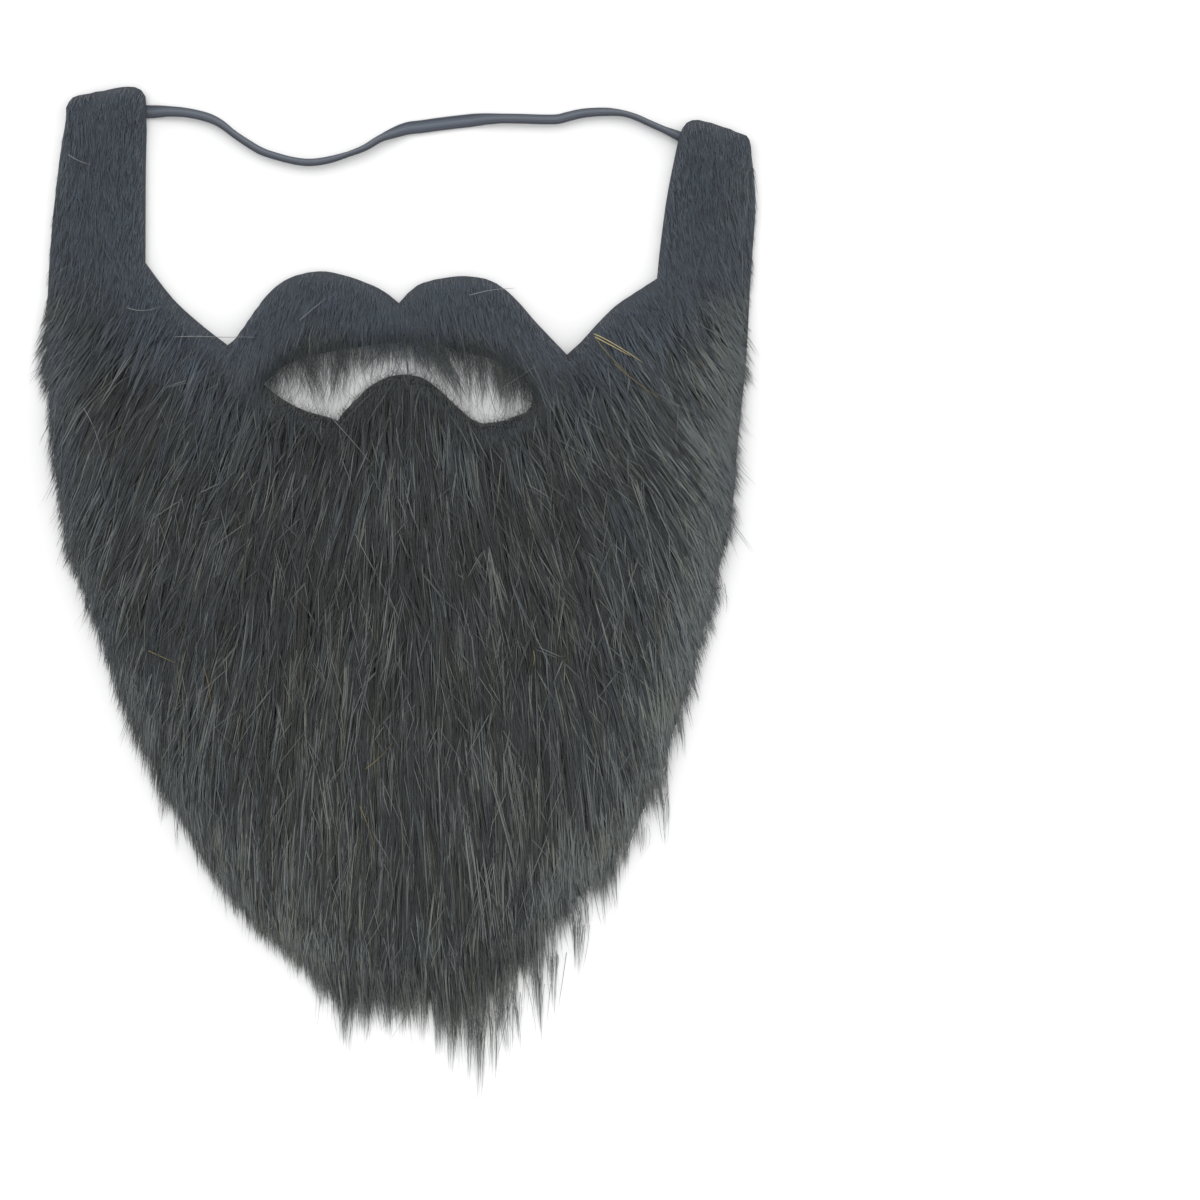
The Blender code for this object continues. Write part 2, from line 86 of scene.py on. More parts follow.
# Cut edges of the cloth, each run a smooth line between two corners: (across, up) in mm from the middle.
LEFT_TOP_RUN = ((-103.6, 160.3), (-93.9, 161.9), (-87.8, 163.3), (-81.5, 163.6))
LEFT_INNER_RUN = ((-80.3, 162.6), (-79.8, 155.2), (-80.2, 136.6), (-80.3, 107.2))
LEFT_CHEEK_RUN = ((-80.3, 107.2), (-74.4, 99.2), (-69.3, 93.4), (-61.3, 86.4), (-53.6, 80.5))
LEFT_LOBE_RUN = (
    (-53.6, 80.5), (-49.8, 84.5), (-44.0, 93.0), (-38.4, 99.2), (-32.8, 102.6), (-24.5, 104.3),
    (-18.1, 103.4), (-10.7, 101.1), (-4.0, 98.0), (1.1, 94.1),
)
RIGHT_LOBE_RUN = (
    (1.1, 94.1), (4.3, 97.6), (8.5, 100.4), (15.8, 102.2), (23.2, 102.6), (29.6, 101.6),
    (34.7, 98.7), (39.5, 94.2), (45.9, 86.9), (54.9, 77.4),
)
RIGHT_CHEEK_RUN = ((54.9, 77.4), (60.3, 82.6), (66.1, 89.1), (71.2, 93.8), (77.3, 97.8), (83.7, 101.9))
RIGHT_INNER_RUN = ((83.7, 101.9), (84.6, 111.0), (86.6, 126.4), (88.8, 138.2), (91.6, 151.2))
RIGHT_TOP_RUN = ((92.9, 152.6), (96.5, 152.8), (103.8, 150.9), (112.8, 147.5))
OUTER_RUN = (
    (113.4, 146.4), (115.2, 127.0), (113.6, 101.4), (112.2, 75.8), (109.6, 50.2), (107.2, 24.6),
    (100.6, -1.0), (94.2, -26.6), (85.6, -52.2), (77.6, -71.4), (66.7, -87.4), (53.6, -100.2),
    (38.2, -111.8), (19.0, -119.0), (1.4, -122.2), (-16.6, -121.4), (-31.0, -113.6),
    (-45.6, -102.2), (-56.4, -87.8), (-66.8, -71.2), (-77.2, -52.2), (-85.2, -33.0),
    (-93.2, -13.8), (-102.8, 11.6), (-108.4, 37.4), (-110.8, 63.0), (-111.6, 88.6),
    (-110.4, 114.2), (-107.7, 139.8), (-104.6, 158.6),
)
MOUTH_LOWER_RUNS = (
    ((-42.4, 68.2), (-38.9, 65.3), (-34.1, 62.1), (-28.3, 59.4), (-21.6, 57.6), (-18.4, 56.2)),
    (
        (-18.4, 56.2), (-16.2, 59.5), (-12.0, 63.7), (-8.8, 66.9), (-3.7, 69.9), (1.9, 71.2),
        (8.5, 70.2), (13.3, 66.9), (18.4, 62.1), (23.8, 57.3), (28.0, 55.4),
    ),
    ((28.0, 55.4), (33.8, 56.2), (38.6, 57.9), (42.7, 59.8), (44.6, 64.3)),
)
MOUTH_UPPER_RUN = (
    (44.6, 64.3), (40.5, 71.0), (33.4, 75.2), (22.2, 78.7), (11.0, 81.0), (1.1, 81.6),
    (-9.4, 80.6), (-19.4, 79.0), (-29.9, 76.5), (-37.6, 73.0), (-42.4, 68.2),
)

# How far the hair reaches, from the left sideburn round the chin to the right one: (across, up) in mm.
HAIR_REACH = (
    (-104.6, 158.6), (-107.0, 147.2), (-108.6, 135.0), (-110.2, 122.9), (-111.5, 102.4),
    (-113.1, 88.6), (-116.0, 80.3), (-117.0, 70.6), (-113.9, 65.0), (-111.5, 54.1), (-111.5, 41.9),
    (-109.0, 34.6), (-108.2, 25.6), (-107.4, 13.4), (-105.4, 7.0), (-102.1, 3.5), (-99.7, -4.5),
    (-96.5, -13.4), (-93.1, -24.0), (-90.4, -33.3), (-85.6, -49.6), (-80.8, -56.0), (-76.6, -67.5),
    (-75.0, -73.3), (-71.8, -70.1), (-66.1, -79.7), (-61.9, -88.0), (-53.6, -99.5),
    (-45.6, -108.5), (-39.0, -113.3), (-29.3, -123.2), (-22.7, -132.2), (-17.8, -139.5),
    (-16.2, -145.0), (-13.9, -138.6), (-10.1, -143.7), (-6.2, -138.6), (-1.1, -142.4),
    (2.7, -139.2), (6.6, -139.5), (11.7, -145.0), (16.8, -150.0), (21.3, -148.0), (26.8, -156.0),
    (31.2, -147.5), (35.0, -139.0), (39.6, -139.0), (42.4, -127.0), (46.6, -136.0), (50.0, -127.5),
    (53.6, -108.8), (57.8, -116.5), (60.6, -96.5), (66.0, -99.0), (71.0, -93.5), (78.0, -80.5),
    (81.1, -69.1), (86.0, -72.5), (87.8, -62.0), (90.1, -52.0), (93.3, -36.5), (96.5, -33.0),
    (98.6, -20.8), (102.6, -13.4), (104.7, -3.8), (104.7, 7.0), (105.9, 15.0), (109.2, 16.6),
    (109.9, 21.4), (110.9, 42.9), (111.5, 56.0), (112.5, 66.6), (114.7, 68.2), (114.1, 73.3),
    (112.5, 85.4), (112.8, 88.0), (114.6, 98.9), (115.0, 111.0), (116.0, 119.7), (117.0, 128.0),
    (116.6, 130.9), (114.7, 138.6), (113.8, 146.4),
)

# Strands over the mouth opening: from and to (across), where their tips meet (across, up), how many; in mm.
MOUTH_STRANDS = (
    (-42.0, -36.0, -39.0, 65.0, 40), (-37.0, -26.0, -32.0, 62.5, 30), (-33.0, -20.0, -22.0, 56.0, 54),
    (-22.0, -10.0, -20.5, 55.5, 50), (-30.0, -16.0, -26.5, 59.0, 30), (-13.0, -3.0, -12.0, 65.0, 22),
    (-8.0, 2.0, -1.0, 69.5, 16), (1.0, 10.0, 11.0, 65.5, 24), (4.0, 14.0, 20.0, 59.5, 66),
    (8.0, 22.0, 26.0, 55.0, 84), (18.0, 30.0, 28.0, 54.0, 50), (27.0, 36.0, 33.0, 57.5, 58),
    (32.0, 41.0, 36.8, 55.5, 100), (38.0, 44.5, 41.8, 60.5, 100),
)

# In how many clumps each row of strands leaves the moustache.
STRAND_CLUMPS = 5

# The fine hairs over the opening, and the fuzz along its lower edge.
HAZE_HAIRS = 1050
LOWER_FUZZ_HAIRS = 1050

# Thin wisps that hang past the free edge: tip (across, up), how wide, how long, how many; in mm.
EDGE_WISPS = (
    (-74.9, -72.5, 2.4, 14, 22), (-62.5, -87.0, 3.0, 12, 14), (-45.0, -108.5, 3.0, 12, 14),
    (-24.0, -132.0, 4.0, 16, 18), (-16.6, -145.0, 2.6, 22, 26), (-10.1, -144.5, 2.2, 20, 14),
    (-4.0, -140.5, 3.0, 16, 14), (2.0, -142.5, 2.6, 18, 16), (8.5, -144.5, 2.6, 20, 16),
    (13.5, -148.5, 2.6, 22, 18), (17.8, -154.5, 2.2, 26, 18), (23.5, -157.0, 2.0, 26, 14),
    (26.8, -165.0, 1.9, 32, 24), (31.5, -156.0, 2.2, 26, 18), (36.5, -148.5, 2.2, 22, 16),
    (40.2, -147.0, 2.0, 20, 14), (46.6, -144.5, 2.4, 26, 26), (50.4, -135.0, 2.2, 20, 16),
    (58.1, -123.5, 2.4, 22, 20), (62.0, -109.0, 2.2, 14, 10), (67.0, -107.0, 2.4, 20, 16),
    (70.5, -103.0, 2.4, 20, 14), (79.5, -85.0, 2.4, 14, 10), (86.4, -81.0, 2.6, 20, 18),
    (93.8, -38.5, 2.6, 13, 14), (105.0, -6.5, 2.6, 12, 10), (112.6, 71.0, 2.6, 9, 8),
)

# Fibres of other colours caught in the pile: start, bend and end, each across and up, in mm.
STRAW_FIBRES = (
    (63.5, 83.7, 71.0, 80.2, 80.0, 73.6),
    (63.9, 82.6, 69.5, 79.6, 75.6, 76.2),
)
OLIVE_FIBRES = (
    (64.2, 82.0, 69.0, 75.0, 76.0, 69.5),
    (70.0, 74.0, 77.0, 67.5, 85.3, 62.1),
    (-77.3, -17.0, -72.0, -19.5, -68.0, -21.1),
    (-8.8, -54.4, -3.0, -50.5, 0.5, -45.1),
    (44.3, -17.0, 45.2, -19.5, 44.0, -22.5),
    (-10.5, -66.0, -7.0, -74.0, -5.5, -80.0),
    (-60.0, -22.0, -57.0, -30.0, -58.0, -36.0),
)
GREY_FIBRES = (
    (-69.8, 82.6, -56.0, 83.2, -41.8, 82.4),
    (-85.0, 92.0, -80.0, 90.0, -74.0, 92.5),
    (24.0, 96.0, 31.0, 98.0, 39.0, 98.8),
    (-30.0, 88.0, -25.0, 92.5, -21.0, 95.5),
    (-104.0, 141.0, -100.0, 138.0, -96.0, 137.5),
    (-41.0, 27.0, -37.5, 40.0, -39.0, 50.0),
    (-20.0, 57.0, -13.0, 50.0, -6.0, 41.0),
    (33.0, 66.0, 39.0, 70.0, 46.0, 73.5),
    (-98.0, 60.0, -93.0, 52.0, -92.0, 44.0),
    (-12.0, 20.0, -6.0, 8.0, 2.0, -6.0),
)

# How high those fibres lie over the pile's base.
FIBRE_LIFT = 2.6

# The chart on which heights and distances are worked out, in mm.
CHART_PITCH = 1.0
CHART_WEST = -135.0
CHART_SOUTH = -182.0
CHART_COLUMNS = 271
CHART_ROWS = 365

# The steps between points on the cloth's cut edges and on its free edge, in mm.
CUT_STEP = 2.0
FREE_STEP = 2.5

# Heights and reaches in mm.
CLOTH_THICKNESS = 0.9
CLOTH_PITCH = 2.6
SHORT_LOFT = 5.6
FULL_LOFT = 12.0
CUT_EDGE_ROUND = 4.5
HAIR_EDGE_ROUND = 13.0
BAND_COVER = 1.45
BAND_COVER_REACH = 6.5
FLOOR_CLEARANCE = 0.12

# The middle of the beard and of the moustache, and how far from it the pile leans outward most, in mm.
BEARD_MIDDLE = 5
MOUSTACHE_MIDDLE = 1
HALF_WIDTH = 117.0

# The line under which the moustache ends: (across, up) in mm.
MOUSTACHE_ENDS = ((-56, 76), (-42, 66), (1, 80), (44, 62), (56, 76))

# A lock's length over its width, and how locks differ: turn in degrees, stretch, and place to one side.
LOCK_SHAPE = 1.8
LOCK_TURN = 6
LOCK_STRETCH = (0.82, 1.2)
LOCK_SIDE = 0.3

# The share of wisps that lie across the others, and how far they turn, in degrees.
WILD_SHARE = 0.05
WILD_TURN = 13

# At how many places a wisp is tested against the edges, and the least share of it that is kept.
WISP_TESTS = 16
WISP_LEAST = 0.10

# How near to a cut edge the hair ends sharply, and above what height it does so everywhere, in mm.
SHARP_REACH = 4.5
SHARP_ABOVE = 86
SHARP_INSET = 0.3

# How far the pile leans outward beside the edges, in degrees: up (mm), left, right.
PILE_LEANS = (
    (-150, 1, 3), (-90, 3, 6), (-50, 7, 10), (-15, 14, 17), (20, 22, 27), (50, 31, 40), (85, 31, 41),
    (105, 16, 20), (130, 7, 9), (160, 4, 6),
)


# Plan geometry.


def smooth_run(points, step):
    """Evenly spaced points on a smooth line through the run's own points, without its last one."""
    given = np.array(points, float)
    ends = np.vstack((2 * given[0] - given[1], given, 2 * given[-1] - given[-2]))
    fine = []
    for before, start, end, after in zip(ends, ends[1:], ends[2:], ends[3:]):
        for t in np.arange(0, 1, 0.1):
            fine.append(
                (
                    2 * start
                    + (end - before) * t
                    + (2 * before - 5 * start + 4 * end - after) * t**2
                    + (3 * start - before - 3 * end + after) * t**3
                )
                / 2
            )
    fine.append(given[-1])
    fine = np.array(fine)
    gone = np.concatenate(((0,), np.cumsum(np.linalg.norm(np.diff(fine, axis=0), axis=1))))
    count = max(2, round(gone[-1] / step))
    marks = np.linspace(0, gone[-1], count + 1)[:-1]
    return np.column_stack([np.interp(marks, gone, fine[:, k]) for k in range(fine.shape[1])])


def joined_runs(runs):
    """One line from runs that follow each other."""
    return np.vstack([smooth_run(run, CUT_STEP) for run in runs])


def arc(share, start, bend, end):
    """Places on a bent line, at given shares of the way along it."""
    return (1 - share) ** 2 * start + 2 * share * (1 - share) * bend + share**2 * end


def downward(turn):
    """The way straight down, turned by given radians towards the right."""
    return np.column_stack((np.sin(turn), -np.cos(turn)))


def line_distance(points, line, closed=True):
    """Distance of each point from a line through given points."""
    best = np.full(len(points), 1e9)
    ends = np.roll(line, -1, axis=0) if closed else line[1:]
    for start, end in zip(line, ends):
        along = end - start
        share = np.clip(((points - start) @ along) / max(along @ along, 1e-12), 0, 1)
        off = points - start - share[:, None] * along
        best = np.minimum(best, np.hypot(off[:, 0], off[:, 1]))
    return best


def is_inside(points, loop):
    """True for each point that a closed line goes round."""
    odd = np.zeros(len(points), bool)
    for start, end in zip(loop, np.roll(loop, -1, axis=0)):
        spans = (start[1] > points[:, 1]) != (end[1] > points[:, 1])
        rise = end[1] - start[1] if end[1] != start[1] else 1e-12
        crossing = start[0] + (points[:, 1] - start[1]) * (end[0] - start[0]) / rise
        odd ^= spans & (points[:, 0] < crossing)
    return odd


def chart_points():
    """Every point of the chart, row by row."""
    across = CHART_WEST + CHART_PITCH * np.arange(CHART_COLUMNS)
    up = CHART_SOUTH + CHART_PITCH * np.arange(CHART_ROWS)
    return np.stack(np.meshgrid(across, up), axis=-1).reshape(-1, 2)


def read_chart(chart, points):
    """A chart's value at each point, blended between its own points."""
    column = np.clip((points[..., 0] - CHART_WEST) / CHART_PITCH, 0, CHART_COLUMNS - 1.001)
    row = np.clip((points[..., 1] - CHART_SOUTH) / CHART_PITCH, 0, CHART_ROWS - 1.001)
    left = column.astype(int)
    low = row.astype(int)
    right_share = column - left
    high_share = row - low
    lower = chart[low, left] * (1 - right_share) + chart[low, left + 1] * right_share
    upper = chart[low + 1, left] * (1 - right_share) + chart[low + 1, left + 1] * right_share
    return lower * (1 - high_share) + upper * high_share


def blurred(chart, reach):
    """The chart smoothed over a given reach in mm."""
    half = int(3 * reach / CHART_PITCH)
    weights = np.exp(-0.5 * (np.arange(-half, half + 1) * CHART_PITCH / reach) ** 2)
    weights /= weights.sum()
    for axis in (0, 1):
        chart = np.apply_along_axis(lambda line: np.convolve(line, weights, mode="same"), axis, chart)
    return chart


def step_between(low, high, value):
    """0 below low, 1 above high, smooth between them."""
    share = np.clip((value - low) / (high - low), 0, 1)
    return share * share * (3 - 2 * share)


def rounding(distance, reach):
    """How high a rounded edge stands at a distance inside it: 0 at the edge, 1 past its reach."""
    return np.sqrt(1 - (1 - np.clip(distance / reach, 0, 1)) ** 2)


left_runs = (LEFT_TOP_RUN, LEFT_INNER_RUN, LEFT_CHEEK_RUN, LEFT_LOBE_RUN)
right_runs = (RIGHT_LOBE_RUN, RIGHT_CHEEK_RUN, RIGHT_INNER_RUN, RIGHT_TOP_RUN)
cut_line = joined_runs(left_runs + right_runs)
outer_line = smooth_run(OUTER_RUN, FREE_STEP)
cloth_loop = np.vstack((cut_line, (RIGHT_TOP_RUN[-1],), outer_line, (OUTER_RUN[-1],)))
top_share = step_between(112, 142, cloth_loop[:, 1])[:, None]
for _ in range(2):
    beside = (np.roll(cloth_loop, 1, axis=0) + np.roll(cloth_loop, -1, axis=0)) / 2
    cloth_loop = cloth_loop + 0.5 * top_share * (beside - cloth_loop)
reach_loop = np.vstack((cut_line, (RIGHT_TOP_RUN[-1],), np.array(HAIR_REACH[::-1])))
mouth_upper_line = smooth_run(MOUTH_UPPER_RUN, CUT_STEP)
mouth_lower_line = joined_runs(MOUTH_LOWER_RUNS)
mouth_loop = np.vstack((mouth_lower_line, mouth_upper_line))
band_line = np.array(BAND_ROUTE) / MM

everywhere = chart_points()
chart_shape = (CHART_ROWS, CHART_COLUMNS)


def depth_chart(loop):
    """How deep inside a closed line each point of the chart is, in mm, below nothing outside it."""
    distance = line_distance(everywhere, loop)
    return np.where(is_inside(everywhere, loop), distance, -distance).reshape(chart_shape)


cloth_depth = depth_chart(cloth_loop)
reach_depth = depth_chart(reach_loop)
mouth_depth = depth_chart(mouth_loop)
cut_distance = line_distance(everywhere, cut_line, closed=False).reshape(chart_shape)
mouth_low_distance = line_distance(everywhere, mouth_lower_line, closed=False).reshape(chart_shape)
band_distance = line_distance(everywhere, band_line, closed=False).reshape(chart_shape)
up_chart = everywhere[:, 1].reshape(chart_shape)

# The loft grows from the moustache and the sideburns to the jaw.
fullness = step_between(96, 52, up_chart)
cut_round = rounding(cut_distance, CUT_EDGE_ROUND)
hair_round = rounding(cloth_depth, HAIR_EDGE_ROUND)
near_cut = step_between(8, 3, cut_distance - np.maximum(cloth_depth, 0))
edge_round = hair_round * (1 - near_cut) + cut_round * near_cut
mouth_round = rounding(-mouth_depth, CUT_EDGE_ROUND)
loft = SHORT_LOFT + (FULL_LOFT - SHORT_LOFT) * fullness
under_height = np.maximum(loft * edge_round * mouth_round - 0.4, 0.15) + CLOTH_THICKNESS + 0.25
under_height = np.where((cloth_depth > -0.5) & (mouth_depth < 0.5), under_height, 0)
lay_height = np.maximum(blurred(under_height, 3.5), under_height * (cloth_depth > 0))
band_cover = BAND_COVER * step_between(BAND_COVER_REACH, 2.6, band_distance)


def waving(points, wavelength, seed):
    """A smooth wandering value between about -1 and 1, which changes over a given distance in mm."""
    drawn = np.random.default_rng(seed)
    total = 0
    for _ in range(6):
        turn = drawn.uniform(0, 2 * math.pi)
        pitch = wavelength * drawn.uniform(0.7, 1.5)
        start = drawn.uniform(0, 2 * math.pi)
        run = points[..., 0] * math.cos(turn) + points[..., 1] * math.sin(turn)
        total = total + np.sin(run * 2 * math.pi / pitch + start)
    return total / 3


def pile_turn(points):
    """Which way the pile lies, in radians from straight down, turned towards the right."""
    leans = np.array(PILE_LEANS, float)
    across = np.clip((points[..., 0] - BEARD_MIDDLE) / HALF_WIDTH, -1, 1)
    left = np.interp(points[..., 1], leans[:, 0], leans[:, 1])
    right = np.interp(points[..., 1], leans[:, 0], leans[:, 2])
    lean = np.sign(across) * np.abs(across) ** 0.6 * np.where(across < 0, left, right)
    return np.radians(lean + 5 * waving(points, 50, 11))


# Meshes.


def piece_from(name, places, faces, material):
    """A piece from points in mm and the corners of its faces."""
    mesh = bpy.data.meshes.new(name)
    mesh.from_pydata((np.asarray(places) * MM).tolist(), [], np.asarray(faces).tolist())
    mesh.polygons.foreach_set("use_smooth", [True] * len(mesh.polygons))
    mesh.materials.append(material)
    mesh.update()
    piece = bpy.data.objects.new(name, mesh)
    bpy.context.scene.collection.objects.link(piece)
    return piece


def note_on_points(piece, name, values):
    """Keeps one value for each point of a piece, for its material to read."""
    kept = piece.data.attributes.new(name, "FLOAT", "POINT")
    kept.data.foreach_set("value", np.asarray(values, np.float32).ravel())


def plan_faces(loop, hole, pitch):
    """Points and triangles that fill a closed line round a hole, keeping to the edges along both."""
    drawn = np.random.default_rng(5)
    low = loop.min(axis=0)
    high = loop.max(axis=0)
    columns = np.arange(low[0], high[0], pitch)
    rows = np.arange(low[1], high[1], pitch * 0.87)
    inner = np.array([(x + (k % 2) * pitch / 2, y) for k, y in enumerate(rows) for x in columns])
    inner += drawn.uniform(-0.12, 0.12, inner.shape) * pitch
    clear = is_inside(inner, loop) & ~is_inside(inner, hole)
    clear &= line_distance(inner, loop) > pitch * 0.45
    clear &= line_distance(inner, hole) > pitch * 0.45
    inner = inner[clear]
    rim = np.vstack((loop, hole))
    edges = [(k, (k + 1) % len(loop)) for k in range(len(loop))]
    edges += [(len(loop) + k, len(loop) + (k + 1) % len(hole)) for k in range(len(hole))]
    given = [Vector(point) for point in np.vstack((rim, inner))]
    places, _, faces, _, _, _ = geometry.delaunay_2d_cdt(given, edges, [], 0, 1e-6)
    places = np.array(places)
    faces = np.array(faces)
    middles = places[faces].mean(axis=1)
    faces = faces[is_inside(middles, loop) & ~is_inside(middles, hole)]
    a, b, c = (places[faces[:, k]] for k in range(3))
    turned = (b[:, 0] - a[:, 0]) * (c[:, 1] - a[:, 1]) - (b[:, 1] - a[:, 1]) * (c[:, 0] - a[:, 0]) < 0
    faces[turned] = faces[turned][:, ::-1]
    return places, faces


def blanket(name, loop, hole, pitch, floor_of, top_of, material):
    """A closed piece of one plan, between a lower and an upper height at each of its points."""
    places, faces = plan_faces(loop, hole, pitch)
    count = len(places)
    low = np.column_stack((places, floor_of(places)))
    high = np.column_stack((places, top_of(places)))
    sides = {}
    for a, b, c in faces.tolist():
        for start, end in ((a, b), (b, c), (c, a)):
            sides[(start, end)] = True
    rim = [(start, end) for start, end in sides if (end, start) not in sides]
    walls = []
    for start, end in rim:
        walls.append((start, end, end + count))
        walls.append((start, end + count, start + count))
    every = np.vstack((faces[:, ::-1], faces + count, np.array(walls)))
    return piece_from(name, np.vstack((low, high)), every, material)


def hair_piece(name, lines, widths, tones, slates, material, flatness=0.75):
    """Many tapered hairs as one piece: each a closed three-sided spike along its own line."""
    count, levels, _ = lines.shape
    rings = levels - 1
    ahead = np.empty_like(lines[:, :rings])
    ahead[:, 0] = lines[:, 1] - lines[:, 0]
    ahead[:, 1:] = lines[:, 2:] - lines[:, : rings - 1]
    ahead /= np.maximum(np.linalg.norm(ahead, axis=2, keepdims=True), 1e-9)
    sideways = np.cross(ahead, (0, 0, 1))
    sideways /= np.maximum(np.linalg.norm(sideways, axis=2, keepdims=True), 1e-9)
    upward = np.cross(sideways, ahead)
    share = np.arange(rings) / rings
    radius = widths[:, None] / 2 * (1 - 0.62 * share**1.3)[None, :]
    corners = []
    for turn in (90, 210, 330):
        reach_side = math.cos(math.radians(turn))
        reach_up = math.sin(math.radians(turn)) * flatness
        offset = sideways * reach_side + upward * reach_up
        corners.append(lines[:, :rings] + offset * radius[:, :, None])
    ring_points = np.stack(corners, axis=2).reshape(count, rings * 3, 3)
    places = np.concatenate((ring_points, lines[:, -1:]), axis=1)
    per_hair = rings * 3 + 1
    pattern = [(0, 2, 1)]
    for level in range(rings - 1):
        for corner in range(3):
            here = level * 3 + corner
            beside = level * 3 + (corner + 1) % 3
            pattern.append((here, beside, beside + 3))
            pattern.append((here, beside + 3, here + 3))
    last = (rings - 1) * 3
    for corner in range(3):
        pattern.append((last + corner, last + (corner + 1) % 3, rings * 3))
    faces = (np.array(pattern)[None] + (np.arange(count) * per_hair)[:, None, None]).reshape(-1, 3)
    piece = piece_from(name, places.reshape(-1, 3), faces, material)
    along = np.append(np.repeat(share, 3), 1.0)
    note_on_points(piece, "along", np.tile(along, count))
    note_on_points(piece, "tone", np.repeat(tones, per_hair))
    note_on_points(piece, "slate", np.repeat(slates, per_hair))
    return piece


def scattered(pitch, seed, region):
    """Root points over the cloth, about one in each square of a pitch, where a region test says yes."""
    drawn = np.random.default_rng(seed)
    low = cloth_loop.min(axis=0)
    high = cloth_loop.max(axis=0)
    across, up = np.meshgrid(np.arange(low[0], high[0], pitch), np.arange(low[1], high[1], pitch))
    points = np.column_stack((across.ravel(), up.ravel()))
    points += drawn.uniform(-0.5, 0.5, points.shape) * pitch
    clear = (read_chart(cloth_depth, points) > 0.35) & (read_chart(mouth_depth, points) < -0.3)
    points = points[clear]
    return points[region(points)]


